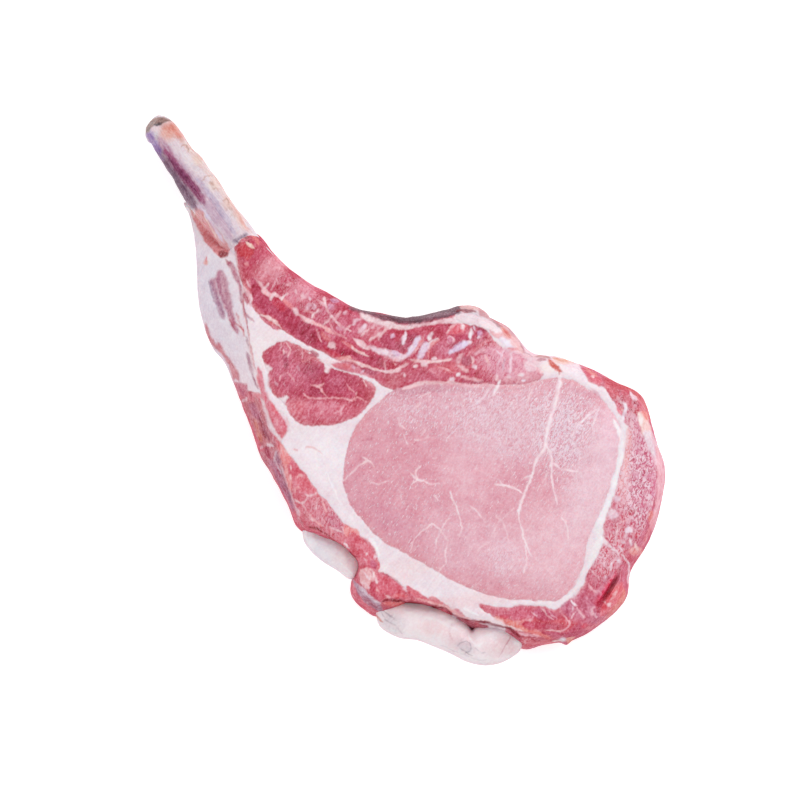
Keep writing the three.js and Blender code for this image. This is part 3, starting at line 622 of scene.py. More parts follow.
PATCHES = [
    # Lean left on the flank beside the bone, and where the bone goes in.
    ("#d67c80", 4, 92, -20, -780, 658, 51, -105, 14, -22, 48, -47, 18, 0, 11, 11, 0, 18, -7, 22, -51, 69,
        -29, 51, -22, 10),
    ("#dcaea8", 5, 85, 0, -780, 662, 25, 3, 26, -10, 14, -26, -3, -18, -22, 7, -22, 15),
    ("#9a4048", 4, 90, -30, -671, 502, 15, 5, 14, -7, 2, -11, -16, -7, -13, 5),
    ("#cb4450", 4, 95, -30, -602, 527, 18, 8, 19, -4, 7, -11, 14, -11, 4, -11, -7, -11, -8, -14, -14, -4,
        -7, 15, -19, 5, -7, 13),
    ("#cb7a84", 5, 90, 0, -718, 240, 18, -44, 11, -11, 7, -21, 7, 11, 19, -19, 7, -18, 44, -65, 14, -31, -7,
        -6, -11, 8, -11, -8, -18, 59, -26, 36, -36, 33, -15, 29, -10, 36),
    ("#cc7284", 4, 90, -10, -616, 29, 21, 0, 19, -7, 11, -11, -4, -40, -7, -4, -4, -7, -33, 51),
    ("#c4586c", 3, 90, -10, -562, -7, 7, 0, 8, -15, 0, -11, -8, -3, -5, 11),
    ("#c97a84", 4, 92, 0, -587, -44, 22, 4, 21, -4, 8, 22, 25, -51, 18, -65, 29, -66, 4, -18, -25, 4, -30,
        14, -18, 29, -18, 51),
    ("#b4607a", 5, 85, 0, -565, -55, 21, 8, 15, -22, 11, -22, -4, -18, -14, 4, -15, 21),
    ("#c9808c", 4, 90, 0, -525, -222, 21, 4, 51, -4, 15, -62, 43, -123, 30, -95, -19, 29, -21, 55, -113,
        171),
    ("#b8506a", 4, 90, -10, -504, -204, 11, -3, 8, -18, 7, -22, -4, -11, -14, 14, -11, 19),
    ("#a0607a", 3, 90, -10, -458, -229, 7, -18, 2, -18, -7, -11, -6, 18, 0, 18),
    # Fat notches and lean pieces beside the small dark muscle.
    ("#eedce2", 4, 95, 0, -515, 102, 15, -7, 15, -10, 9, -7, -9, -13, -11, -14, -11, 14),
    ("#efdde4", 3, 95, 0, -453, -29, 15, 2, 14, 5, 6, -9, -7, -7, -6, -13, -18, 7),
    ("#f0d9de", 4, 95, 10, -304, 105, 15, -10, 4, -15, -2, -11, 7, -7, 9, 7, 4, 11, 14, 4, -7, 14, -22, 11),
    ("#df7f90", 4, 92, -10, -529, 87, 14, -22, 26, -80, 18, -36, 44, -47, 3, -22, 11, -15, -7, -10, -18, 3,
        -22, 11, -18, 22, -44, 124, -11, 43),
    ("#cf6c80", 3, 90, -15, -517, 267, 49, -19, 25, -23, -3, -7, -26, 7, -30, 19, -18, 15),
    ("#a83a55", 4, 85, -10, -435, 127, 11, 4, 8, -22, -4, -25, -11, -4, -7, 22),
    ("#ae4058", 4, 80, -10, -340, 138, 22, 0, 11, -14, -15, -8, -18, 4),
    ("#b0435c", 5, 75, 0, -344, 0, 26, 7, 25, -11, -7, -14, -29, -4, -18, 7),
    ("#ba4d66", 7, 70, 0, -267, 33, 29, 11, 29, -15, 0, -25, -29, -11, -26, 11),
    ("#b8405a", 5, 75, 0, -307, 51, 22, 11, 21, -11, -7, -18, -25, 0),
    ("#e9707f", 5, 70, 0, -485, -44, 18, -11, 18, -21, -7, -11, -19, 14),
    # Shoulder: pale membranes, a brighter ground with strands, and the orange fold.
    ("#e6d2d9", 4, 90, 30, 205, 313, 53, -10, 35, -26, 21, -56, -41, 15, -57, 5, -76, -10, 51, 31),
    ("#ecdadf", 4, 95, 30, 278, 284, 26, -26, 18, -11, 14, -18, -3, -18, -26, 11, -18, 0, -11, 11),
    ("#e6a4aa", 5, 80, 10, 311, 218, 25, -11, 22, 4, 26, -4, 7, -18, -18, -11, -29, 7, -26, 15),
    ("#ece0ec", 4, 92, 20, 347, 185, 15, 8, 51, -44, -40, 4, -18, 18),
    ("#dc8aa0", 7, 85, 0, 293, 145, 36, 11, 80, -18, 29, -14, 15, -37, -15, -32, -43, -11, -51, 3, -37, 33),
    ("#eccdd6", 5, 90, 10, 438, 105, 22, 6, 22, -9, 0, -29, -22, -8, -18, 8),
    ("#cc5548", 4, 92, -20, 522, 109, 11, 0, 40, -40, -8, -4, -14, 8, -18, 14),
    # The small lobe of lean at the corner and the top of the cap.
    ("#d9687a", 4, 95, -10, 649, 80, 22, 0, 22, -13, 22, -27, 1, -13, -9, -7, -29, 13),
    ("#e08a84", 5, 75, 0, 660, 76, 18, 0, 18, -14, 8, -15, -15, 4, -18, 14),
    ("#c8525f", 4, 92, -10, 718, 47, 22, -2, 22, -9, 18, -14, 11, -15, 4, -14, -11, -4, -22, 7),
    ("#d4606e", 4, 85, 0, 733, 29, 29, -29, 18, -11, 7, -18, -11, -11, -29, 25, -11, 19),
    ("#b83a58", 4, 90, -10, 784, -4, 14, -3, 29, -37, -7, -7, -11, 7, -22, 26),
    ("#c85062", 4, 90, -10, 802, 15, 22, -8, 7, -11, -11, -11, 15, -21, 14, -8, 4, -11, 11, -10, 0, -10,
        -15, -1, -7, -15, -22, 18, -4, 18, -21, 30, -4, 21),
    ("#b02c4c", 4, 85, -10, 831, -44, 14, 0, 8, -11, -4, -10, -11, 3),
    ("#dc6078", 4, 92, 0, 773, -36, 7, -4, 18, -29, -3, -15, -4, -7, -11, 11, -7, 18),
    ("#cf6076", 3, 92, 0, 809, -73, 4, -11, -2, -14, 5, -11, -1, -15, -10, -1, -5, 12),
    ("#d9808e", 4, 90, 0, 824, 7, 21, -7, 19, -15, 14, -21, 11, -29, 4, -37, -11, -3, -22, 50, -33, 40),
    ("#f0ccc8", 4, 95, 10, 849, -80, 15, -4, 18, -14, 11, -15, 11, -47, -22, -11, -15, 4, -14, 54),
    ("#e8928a", 4, 85, 0, 864, -76, 14, 0, 13, -11, 2, -22, -15, 0, -11, 14),
    ("#e9d6e0", 5, 90, 10, 867, -156, 18, 7, 22, -11, 37, -87, 3, -29, -22, 14, -21, 26, -19, 25),
    ("#dd9aac", 4, 80, 0, 911, -204, 14, -7, 15, -25, 11, -29, 4, -33, -15, 14, -18, 37),
    # Cap: fields of bare lean, pale lobes at its inner edge, and its smooth outer band.
    ("#eebac4", 4, 85, 0, 915, -215, 14, -10, 15, -37, 7, -43, -4, -51, -32, -139, -11, -21, -8, 21, 22,
        102, 4, 51, 0, 51),
    ("#d4688a", 5, 85, 0, 893, -247, 18, -8, 4, -109, -8, -29, -11, 8),
    ("#eccfdc", 4, 85, 10, 740, -447, 15, 18, 18, -7, 7, -15, 0, -14, -18, -8, -15, 8),
    ("#e9d0de", 4, 80, 10, 762, -389, 14, 7, 11, -11, -7, -11, -15, 0),
    ("#cc5068", 4, 90, -10, 791, -458, 22, 11, 14, 0, 0, -15, -18, -11, -14, -9, -8, 9),
    ("#d0566c", 4, 92, -10, 780, -491, 22, 6, 11, -10, -11, -18, 3, -18, -10, -18, 7, -15, 18, -14, 11, -26,
        -7, -21, -29, 7, -19, 25, -3, 29),
    ("#cf5268", 4, 90, -10, 744, -520, 21, 0, 4, -25, 0, -22, -11, 3, -11, 19, -7, 14),
    ("#d0586e", 4, 90, -10, 718, -571, 22, 0, 22, -18, 14, -22, -7, -29, -25, -29, -29, -7, -30, 14, 22, 33,
        22, 22, -14, 22),
    ("#cc4c62", 3, 90, 0, 758, -495, 15, 4, 0, -14, -11, -8, -7, 8),
    ("#d24c64", 4, 90, -10, 827, -520, 18, 7, 15, 11, -4, -18, -11, -18, -10, 3),
    ("#de7a78", 3, 90, 0, 889, -444, 15, 4, 0, -22, -8, -18, -7, 11),
    ("#f0a49e", 5, 75, 0, 820, -578, 18, 11, 26, -8, 7, -18, -26, -11, -21, 11),
    ("#c95a72", 5, 90, -10, 660, -673, 25, 8, 30, -15, 3, -22, -18, -25, -22, 14, -18, 22),
    ("#d84c62", 4, 85, -10, 635, -855, 25, 11, 7, -11, -14, -10, -18, -4),
    ("#e26a76", 5, 80, 0, 725, -767, 62, 69, 15, -22, 0, -29, -26, -29, -29, -26, -32, -18),
    # The lean strip at the bottom.
    ("#cf5c74", 5, 85, -10, 391, -789, 58, 7, 15, -7, 0, -18, 7, -11, -22, -11, -58, 7),
    ("#d5576c", 4, 85, -10, 351, -818, 25, 2, 8, -9, -15, -6, -18, 2),
    ("#cb5068", 5, 85, -10, 427, -844, 29, 4, 29, -4, 30, -3, -8, -11, -36, -4, -33, 7),
    ("#c75c78", 5, 85, 0, 475, -796, 25, 7, 22, -7, 36, -22, -11, -15, -36, -3, -22, 3, -14, 11),
    ("#c96e88", 4, 85, 0, 573, -778, 32, 11, 8, -18, -4, -22, -7, -15, -22, 15, -11, 14),
    ("#c4546e", 5, 85, 0, 496, -876, 73, -4, 29, 7, 44, 29, 0, -43, -37, -11, -72, 3, -26, 8),
    ("#dc7884", 4, 90, 0, 438, -898, 47, -15, 30, 4, 25, -2, 15, -5, -19, -9, -65, -6, -51, -22),
    ("#e6988c", 3, 90, 0, 595, -898, 29, 0, -4, -11, -5, -15, -8, -3, -7, 7, -4, 11),
    # The flank muscle and the lenses of lean beyond its end.
    ("#ef9a9c", 4, 85, 0, -453, -196, 18, -4, 15, -25, 11, -22, -7, -22, -19, -7, -10, 29),
    ("#d9697c", 4, 85, -10, -409, -258, 14, -7, 39, -37, -9, -9, -22, -5, -22, 18, -11, 22),
    ("#dc7080", 4, 85, 0, -387, -320, 29, 4, 33, -40, 7, -15, -26, -11, -21, 15, -19, 18),
    ("#c9607a", 5, 85, 0, -264, -440, 19, -4, 18, -25, 11, -26, -4, -25, -22, 4, -40, 43, 15, 18),
    ("#f0a0a0", 4, 85, 0, -213, -495, 18, -3, 22, -7, 15, -15, -11, -15, -26, 0, -18, 15),
    ("#da6c7e", 5, 85, 0, -187, -516, 29, -11, 29, -18, 22, -30, 11, -25, -8, -25, -14, -19, -84, 80, -7,
        26),
    ("#c9607c", 4, 85, 0, -115, -615, 19, -7, 3, -14, -11, -11, -14, 14),
    ("#f0c0c4", 4, 85, 5, -158, -647, 29, 3, 22, -11, 0, -29, -8, -29, -18, -11, -22, 22, -7, 29),
    ("#dc7082", 4, 92, -10, -100, -665, 15, 7, 54, -33, 18, -14, 8, -11, -22, -19, -26, -7, -25, 7, -22,
        48),
    ("#cc5068", 4, 90, -10, -118, -698, 14, -4, 4, -18, -7, -15, 25, -29, -14, 0, -29, 40, 0, 15),
    ("#de6f7e", 3, 92, 0, 11, -715, 13, 2, 65, -43, -14, -2, -19, 3, -18, 10, -14, 10),
    ("#e0808a", 3, 92, 0, 89, -753, 15, 4, 18, -7, 18, -22, -15, 0, -21, 7, -11, 7),
    ("#d9808e", 3, 90, 0, 176, -800, 19, 4, 14, -11, 15, -15, -19, 0, -18, 7),
    # Red hollow under the slice, and the film on the lower flank.
    ("#b8495c", 4, 90, -50, 185, -826, 102, -23, 23, -14, -23, -14, -35, -21, -25, 44),
    ("#ec8080", 4, 90, 10, -75, -778, 40, 11, 40, -9, -7, -13, -58, 4),
    ("#b89aac", 4, 90, -10, -187, -691, 14, -7, 44, -47, 44, -37, 7, -14, -15, -11, -65, 58, -15, 22),
    # The mottled lean under the skin of the flank, and the dark rim of the shoulder.
    ("#c6899d", 5, 80, -10, -678, 436, 25, -7, 18, -44, 15, -94, 22, -80, -18, 4, -37, 87, -18, 36, -22, 29,
        -14, 33, 22, 11),
    ("#b3849f", 4, 70, -10, -707, 396, 14, -18, 44, -109, -11, -11, -18, 33, -26, 69),
    ("#8d6b78", 4, 90, 0, 125, 291, 37, 5, 29, 9, 18, 0, 11, -12, -95, -38),
    ("#c98890", 4, 90, 0, 198, 324, 29, 3, 37, -7, 29, -18, 14, -18, -22, -4, -29, 13, -47, 5),
    ("#9c5560", 3, 85, 0, 216, 298, 26, -2, 22, -5, -22, -9, -26, 2),
    ("#c0808a", 4, 90, 0, 293, 298, 29, -18, 58, -47, 29, -33, 22, -33, 11, -29, -26, 15, -51, 62, -54, 47),
    ("#e0958c", 4, 85, 0, 355, 233, 18, -11, 18, -18, 4, -19, -19, 8, -18, 18),
    ("#edc3c4", 4, 85, 0, 391, 196, 22, -14, 14, -22, 8, -25, -26, 7, -18, 22),
    # Rib muscle: the deep red bundles, and the thin strip of lean under the second seam.
    ("#bb4561", 5, 90, -15, -555, 404, 22, -4, 18, -25, 4, -33, 58, -11, 29, -22, 48, -51, 61, -33, 51, -72,
        80, -8, 26, -10, 65, -15, 8, -18, 14, -26, -76, 22, -40, 22, -51, 0, -47, 22, -55, 18, -73, 51, -47,
        47, -25, 15, -26, 7, -18, 18, -18, 26),
    ("#a83a52", 7, 75, -10, -376, 251, 25, -11, 22, -18, 14, -26, -7, -25, -25, 0, -22, 22, -15, 29),
    ("#d04a60", 7, 70, 0, -464, 331, 29, -11, 11, -22, -11, -14, -21, 11, -22, 21),
    ("#b2324f", 5, 80, -10, -238, 142, 36, 3, 102, -29, -15, -11, -72, 19, -37, 3),
    ("#cc4359", 7, 70, 0, -289, 164, 25, -19, 26, -10, 14, -15, -29, 0, -25, 18),
    ("#b84a60", 4, 85, -10, -582, 353, 9, 3, 11, -21, 6, -19, -9, -3, -11, 18),
    ("#df7a80", 4, 80, 0, -584, 389, 11, -4, 8, -18, -8, -7, -11, 15),
    ("#d0697e", 4, 90, 0, -264, 95, 33, 5, 36, -4, 73, -16, 37, -15, 21, -43, -29, 7, -29, 15, -98, 27),
    ("#dd8088", 5, 70, 0, -256, 93, 32, 2, 29, -6, 8, -13, -26, 0, -25, 9),
    ("#b24a63", 5, 80, -10, -155, 80, 26, -2, 29, -9, -4, -14, -25, 0, -22, 10),
    ("#bb4a66", 5, 85, -10, -89, 178, 14, 22, 22, -4, 18, -14, 11, -18, -11, -19, -25, -7),
    ("#b54a64", 4, 85, -10, -27, 167, 54, 37, 22, 3, 4, -11, -37, -43, -18, -15, -22, 7),
    ("#bf4259", 4, 90, -10, -64, 105, 26, 4, 69, -4, 22, -7, -37, 0, -21, -14, -55, -11),
    ("#b5485c", 4, 80, 0, -93, 113, 15, 3, 7, -18, -4, -22, -14, 8, -7, 14),
    ("#bc405a", 4, 90, -10, 133, 233, 43, 3, -36, -43, -44, -18, -32, -44, -15, -11, -7, 4, 36, 51),
    ("#c65468", 5, 80, 0, 31, 215, 29, 10, 36, 4, 22, -4, -22, -18, -21, -3, -26, 0),
    ("#e0697a", 4, 85, 5, 176, 229, 29, 7, 30, -3, -11, -18, -26, -8, -29, -3, -11, -8),
    ("#b93a58", 4, 92, -15, 187, 196, 55, 11, 7, 26, 22, 0, 25, -15, 8, -14, -4, -19, -22, -3, -47, 0, -66,
        -29, -7, 14, 22, 11),
    ("#d98aa4", 4, 80, 5, 162, 191, 11, 2, 7, -11, -7, -11, -11, 2, -4, 9),
    ("#b04a60", 4, 90, -20, 213, 120, 14, 4, 15, -8, 2, -14, -9, -15, -19, 0, -9, 15),
    ("#efc9cf", 5, 80, 10, -529, 393, 14, -8, 15, -18, 15, -16, -8, -9, -14, 7, -11, 22),
]
STROKES = [
    # Flank: the white fold along the bone, mauve streaks under the skin, and the pink line beside them.
    ("#f0d6ce", 6, 85, -740, 658, 58, -102),
    ("#eac0ba", 5, 80, -755, 651, 37, -66),
    ("#8e3f48", 15, 85, -671, 502, 15, -7, 14, 3),
    ("#eadde6", 6, 80, -685, 389, 43, -116),
    ("#e0c4d0", 4, 70, -667, 400, 25, -87),
    ("#d46a72", 6, 80, -609, 284, 25, -59),
    ("#b8505e", 5, 80, -635, 262, 33, -58),
    ("#e0d6ec", 12, 92, -744, 676, 26, -32, 51, -95, 32, -33),
    ("#cfc5e0", 4, 70, -715, 625, 55, -90),
    ("#ab4450", 11, 85, -647, 475, 9, -11, 3, -13),
    ("#b8647c", 22, 88, -635, 465, 15, -21, 22, -55),
    ("#b8647c", 11, 88, -602, 396, 11, -32, 11, -59),
    ("#b07c90", 6, 85, -580, 313, 7, -29, 8, -66),
    ("#c48898", 11, 85, -573, 280, 29, -36),
    ("#ecd6da", 7, 85, -613, 509, 11, -58),
    ("#d08890", 6, 80, -595, 444, 15, -95, 4, -65, 32, -182, 22, -73),
    ("#b5708a", 18, 85, -673, 433, -2, -22, 4, -29, 15, -58, 21, -55),
    ("#b8788c", 15, 80, -656, 415, 21, -117, 11, -29),
    ("#a9708c", 15, 80, -700, 396, 47, -131),
    ("#a994ae", 6, 85, -711, 396, 15, -58),
    ("#d9bccb", 5, 80, -689, 404, 47, -128),
    ("#b86078", 15, 80, -620, 262, 7, -40),
    ("#c4404c", 7, 88, -609, 244, 14, -11, 11, -15, 6, -25),
    ("#a8687e", 9, 85, -569, 193, 7, -37),
    ("#a9607c", 12, 88, -567, 135, 20, -84),
    ("#a9607c", 7, 88, -551, 55, 26, -51),
    ("#e6b8be", 9, 80, -551, 145, 4, -36, 14, -58),
    ("#e07c88", 9, 80, -533, 51, 15, -44),
    ("#c06480", 11, 80, -595, 7, 15, -32),
    ("#f4edf2", 7, 90, -590, -45, 20, 15),
    ("#d9646a", 7, 85, -718, 484, 0, -15),
    # Painted shade: a dark mark in the crease where the meat meets the bone.
    ("#803040", 8, 90, -560, 540, 4, -4),
    ("#f0c9bc", 11, 92, -567, 535, 27, -22),
    ("#e0807c", 15, 80, -547, 560, 14, -15, 8, -18),
    ("#ec9ca0", 15, 70, -573, 458, 15, -7),
    # Painted shade: a second dark mark in the same crease.
    ("#a06060", 11, 85, -580, 553, 18, 0),
    # Lower flank: an orange and a deep red streak, lilac films, and the mauve run below: silver skin,
    # darkened with painted shade.
    ("#d47a64", 12, 88, -540, -109, 22, -76),
    ("#9c2038", 13, 90, -525, -109, 21, -62),
    ("#7a1028", 7, 80, -527, -104, 5, -11),
    ("#a04c68", 12, 85, -515, -113, 26, -72),
    ("#c47888", 15, 75, -504, -102, 37, -102),
    ("#f0e6f0", 12, 92, -500, -193, 13, -9),
    ("#e6d6e2", 7, 85, -482, -200, 7, -5),
    ("#ead8e0", 12, 90, -525, -209, 14, 4),
    ("#b0708a", 25, 85, -485, -258, 21, -33, 33, -69, 18, -40, 11, -36),
    ("#9c6880", 12, 85, -445, -287, 29, -84, 11, -44),
    ("#b4506a", 9, 75, -464, -280, 22, -47),
    ("#aa4c60", 6, 80, -438, -353, 22, -25),
    ("#d4bccc", 7, 88, -460, -225, -7, -22, 3, -22, 19, -36),
    ("#dcb4be", 8, 85, -449, -276, 29, -59, 36, -116),
    ("#e4bcc6", 7, 85, -387, -429, 11, -29),
    # Face fat: the white seam outside the small dark muscle, salmon lines of old vessels, faint streaks.
    ("#efdfe6", 17, 92, -515, 98, 15, -43, 11, -55, 14, -36, 44, -59, 22, -58),
    ("#efe4ea", 18, 92, -515, -29, 22, -73, 15, -33, 51, -72),
    ("#fbf3f5", 5, 80, -520, 270, 33, -7, 48, -41),
    ("#e6a5a8", 5, 70, -357, -209, 17, 2, 46, -24),
    ("#d98c92", 6, 75, -398, -213, 13, -5),
    ("#f8f2f6", 7, 80, -275, -305, 30, -80, 21, -33),
    ("#fbf6f8", 11, 85, -122, -538, 22, -37, 11, -29),
    ("#fbf6fa", 9, 80, 213, -789, 29, -18, 29, -11),
    # Rib muscle: white seams and tendons, and painted highlights: glossy streaks and glints between the
    # fibre bundles.
    ("#f2bcc4", 12, 100, -540, 404, 47, -59, 26, -1, 22, -9, 18, -15),
    ("#ee9095", 18, 85, -435, 327, 37, -32),
    ("#f3d6dd", 19, 100, -398, 298, 18, -25),
    ("#f3cbd0", 16, 100, -376, 273, 32, -22, 19, -6),
    ("#f4b9bd", 12, 100, -329, 247, 65, -32),
    ("#f2cdd6", 12, 100, -587, 382, 29, -37, 9, -40),
    ("#f1c3cc", 8, 90, -569, 398, 13, -27),
    ("#f4c9c9", 9, 100, -518, 273, 43, -18, 19, -13, 14, -17),
    ("#e27f85", 8, 80, -493, 255, 44, -31),
    ("#b85068", 4, 70, -504, 247, 44, -27),
    ("#a82c48", 6, 85, -442, 273, 26, 14, 14, -3),
    ("#f0bac4", 8, 90, -318, 225, 22, -49),
    ("#e88f90", 18, 50, -296, 211, 14, -18, 18, -11),
    ("#f4d6dc", 21, 100, -267, 171, 18, -18),
    ("#f0aaac", 10, 90, -282, 218, 18, -9, 19, -4),
    ("#f3c4c8", 9, 95, -245, 204, 40, -17),
    ("#e78a90", 15, 70, -227, 178, 43, -22),
    ("#f3c7c9", 9, 100, -191, 162, 11, -13, 15, -9, 36, -15),
    ("#f3ccd4", 15, 100, -184, 187, 33, -18, 15, -13, 18, -5),
    ("#eed3df", 25, 100, -118, 158, 25, -13, 77, -25, 21, 2, 19, 11),
    ("#e8d7ea", 23, 100, 16, 129, 44, 64),
    ("#dfc8e2", 15, 80, -42, 138, 29, -11),
    ("#8f4a66", 6, 70, -42, 127, 11, -2),
    ("#f4e3ee", 15, 100, 5, 211, -1, -22, -9, -22),
    ("#e6bed8", 14, 90, -35, 205, -10, -16),
    ("#f1c6ce", 10, 95, -89, 180, 7, 20, 15, 18, 22, 9),
    ("#f2d8e4", 17, 100, -164, 209, 11, 15, 17, 12),
    ("#f0d2de", 15, 95, -184, 236, 9, 15, 17, 7),
    ("#efc8d2", 10, 85, -118, 222, 22, 14),
    ("#eec2ce", 8, 80, -98, 218, 20, 15),
    ("#f0c8ce", 12, 90, -124, 180, 39, 24),
    ("#eec4d2", 13, 90, -222, 273, 20, 14),
    ("#e4b4cc", 10, 85, -245, 229, 21, -11),
    ("#dcaac6", 19, 80, -275, 298, 19, 11),
    ("#d9aecb", 15, 80, -267, 327, 29, -3),
    ("#f1cdd4", 9, 95, -289, 338, 2, -22, 16, -41, 40, -40, 40, -20),
    ("#e8a6b2", 7, 85, -271, 251, 7, -22, 11, -14, 22, -15),
    ("#e29cae", 15, 60, -391, 385, 22, 22),
    ("#f0c9d3", 11, 90, -389, 364, 4, -15),
    ("#eebfca", 10, 85, -420, 378, 16, 13),
    ("#efc4ce", 8, 85, -482, 364, 15, 32),
    ("#efc4ce", 8, 85, -464, 407, 11, -22),
    ("#f0d0da", 13, 90, -365, 338, 1, 15),
    ("#eed2e0", 15, 85, -340, 316, -11, -25),
    ("#eed2e0", 12, 85, -324, 313, -3, -22),
    ("#eed2e0", 10, 80, -340, 327, -2, 13),
    ("#eab0b6", 9, 85, -362, 285, 18, 0, 15, -9, 4, -14),
    ("#f0c2ca", 9, 90, -264, 104, 55, 3, 22, -7),
    ("#f2c6c9", 11, 100, -187, 105, 105, -38),
    ("#f3cfd5", 14, 100, -85, 67, 50, 0, 22, 8, 29, 18),
    ("#f1b6b2", 12, 80, -238, 113, 47, 3),
    ("#dfb6cc", 10, 80, -187, 87, 7, -11),
    ("#dfb6cc", 8, 80, -155, 58, 13, 15),
    ("#8c2c46", 4, 85, -80, 124, -16, -29),
    ("#ecc6ce", 8, 95, -67, 111, 2, -42),
    ("#ecaab0", 10, 80, -71, 120, 26, -7, 29, -2),
    ("#ecb6bc", 7, 85, -38, 104, 11, -11),
    ("#f4e6ee", 14, 100, 104, 211, -11, -29),
    ("#e5d0e6", 28, 100, 58, 115, 24, 40, 11, 10),
    ("#f0dbe2", 12, 95, 89, 164, 36, 23),
    ("#ec9da0", 12, 80, 133, 185, -22, -14, -15, -18, -5, -18, 0, -19),
    ("#e8929a", 9, 70, 75, 204, -4, -22, -15, -22, -18, -18),
    ("#eca5aa", 11, 70, 64, 178, -8, -22, -21, -25),
    ("#f1b4bc", 10, 95, 220, 238, -29, -2, -22, -12, -13, -17),
    ("#eebac8", 7, 95, 158, 189, 9, 6, 11, -4, 3, -11, -7, -11, -11, 1, -6, 9),
    ("#f7ecf3", 19, 100, 209, 224, 13, 5),
    ("#f4e8f1", 13, 100, 247, 222, -5, -33),
    ("#ead4e4", 8, 90, 256, 233, 2, -15),
    ("#dcb2d2", 17, 95, 269, 215, 13, -13),
    ("#f0dcea", 10, 95, 267, 191, 13, 2),
    ("#e5d4ee", 23, 100, 167, 135, 35, 25, 33, 15),
    ("#ecd6e4", 15, 90, 235, 178, 10, -7),
    ("#c2506a", 15, 60, 242, 160, 51, 18),
    ("#e8939d", 13, 80, 231, 124, 44, 36, 32, 20),
    ("#f2cdd8", 10, 85, 256, 129, 40, 20),
    ("#f1d0d8", 13, 95, 200, 95, -4, 18, 8, 12, 9, 6),
    ("#f3cbd2", 11, 95, 244, 120, 6, -11, -3, -16),
    ("#f3e3ee", 15, 95, 249, 78, 13, 6),
    ("#efc6d0", 9, 85, 293, 127, 18, -40),
    ("#f0d5dd", 12, 90, 104, 115, 18, 1),
    ("#f4d1d4", 13, 100, 24, 109, 61, -7, 88, 11),
    ("#f3d3da", 23, 100, 67, 100, 18, -9),
    ("#f5dfe4", 13, 95, 44, 91, 3, -11),
    ("#eba3ad", 5, 85, 93, 73, 22, -9, 16, -15, 5, -16),
    ("#f0dce6", 19, 90, 169, 36, 15, 6),
    ("#f0dce6", 16, 90, 195, 51, 7, 11),
    ("#eba8b0", 10, 80, 125, 89, 55, -24),
    ("#f2c6cc", 13, 85, 198, 87, 37, -22),
    ("#eab0b8", 13, 95, 209, 51, 76, -20),
    ("#a9485e", 7, 85, 209, 38, 22, -5, 91, -9),
    ("#c2627a", 6, 60, 209, 24, 26, -2),
    ("#f1d3dc", 10, 90, 5, 58, 2, -14),
    ("#f3c9ce", 13, 100, -2, 5, 62, 18, 36, 4, 73, 2, 36, -5),
    ("#efc0c8", 9, 85, 205, 20, 37, -5, 145, 3),
    # The thin dark skin over the rib, with the pale membrane below it.
    ("#6c4855", 27, 95, -195, 300, 110, -33, 72, -14, 37, -1, 72, 8, 109, 25),
    ("#573844", 9, 60, -107, 269, 72, -18, 37, -4, 65, 4),
    ("#a07888", 22, 65, 89, 265, 106, 22),
    ("#ecd3d8", 21, 100, -158, 278, 22, -16, 101, -31, 37, -4, 36, 4),
    ("#ecd0d7", 16, 100, 31, 231, 138, 22, 36, 12),
    # Painted highlights: short slanted glints on the wet rib muscle.
    ("#f6dde2", 9, 90, -515, 360, 15, 15, 7, 14),
    ("#f6dde2", 8, 90, -445, 324, 25, 29),
    ("#f6dde2", 8, 90, -333, 262, 11, 18, 15, 15),
    ("#f6dde2", 9, 90, -293, 233, 29, 36),
    ("#f4d6dc", 9, 90, -216, 207, 11, 18, 18, 15),
    ("#f4d6dc", 8, 90, -155, 193, 11, 14, 19, 15),
    ("#f0c0ca", 11, 80, -369, 327, 14, 15, 11, 22),
    ("#f0c0ca", 11, 80, -311, 327, 15, -14, 14, -8),
    ("#eab0bb", 11, 75, -264, 247, 19, 15, 14, 22),
    ("#f4d6dc", 8, 90, -482, 327, 11, 15, 4, 14),
    # Small dark muscle: a fine net of fat.
    ("#f0c6cc", 7, 85, -413, 156, 6, -11, -11, -29),
    ("#f0b8c0", 6, 85, -420, 138, -40, -22),
    ("#f2d0d6", 7, 85, -435, 145, 2, -14),
    ("#e9b3bb", 4, 80, -442, 171, -2, -18, -5, -11),
    ("#eec0c6", 5, 85, -427, 171, 14, -15),
    ("#f0c3c6", 5, 80, -347, 145, 18, -1, 14, -13),
    ("#f5e3e8", 7, 90, -347, 131, 11, 0),
    ("#e9b9c4", 5, 75, -365, 142, 0, -26),
    ("#f0b4b8", 5, 80, -369, 105, 18, -1, 11, 7, 25, 4),
    ("#cf92a4", 11, 70, -384, 91, 8, -22),
    ("#e9a6b0", 6, 80, -427, 65, 14, -10, 15, -22),
    ("#eab0ba", 5, 80, -431, 62, -14, -11, -4, -15),
    ("#d9a3b5", 5, 70, -435, 36, 8, -25),
    ("#e3b9c6", 11, 75, -464, 29, 8, -14),
    ("#f3bcc2", 8, 88, -335, 20, 31, -7, 11, -20, 18, -20),
    ("#f3c2c6", 7, 85, -304, 15, 17, 10),
    ("#f0b0b8", 8, 88, -365, -11, 14, -13, 26, -5, 80, 1, 58, -9, 18, 12, 33, -19),
    ("#e79aa4", 6, 75, -205, 18, 10, -14, 15, -11),
    ("#f3ccd2", 7, 85, -147, 36, 11, -21),
    ("#ecb0b4", 6, 75, -169, -4, -4, -18),
    ("#e9a7b3", 5, 80, -311, -40, 0, -11, 15, -25, -11, -19),
    ("#e59dac", 5, 80, -311, -55, -34, -18, 3, -29),
    ("#edaebb", 5, 80, -195, -36, -32, -40, 3, -19),
    ("#efb4bf", 5, 80, -227, -76, -29, -13),
    # Shoulder: rims, feathery strands, the red folds and the veins that run into the eye.
    ("#a98f8c", 7, 85, 318, 255, 37, -31),
    ("#c98078", 7, 80, 304, 265, 11, -10),
    ("#d08a88", 7, 80, 325, 258, 19, -11, 18, -18),
    ("#cb4f52", 9, 88, 365, 218, 19, -14),
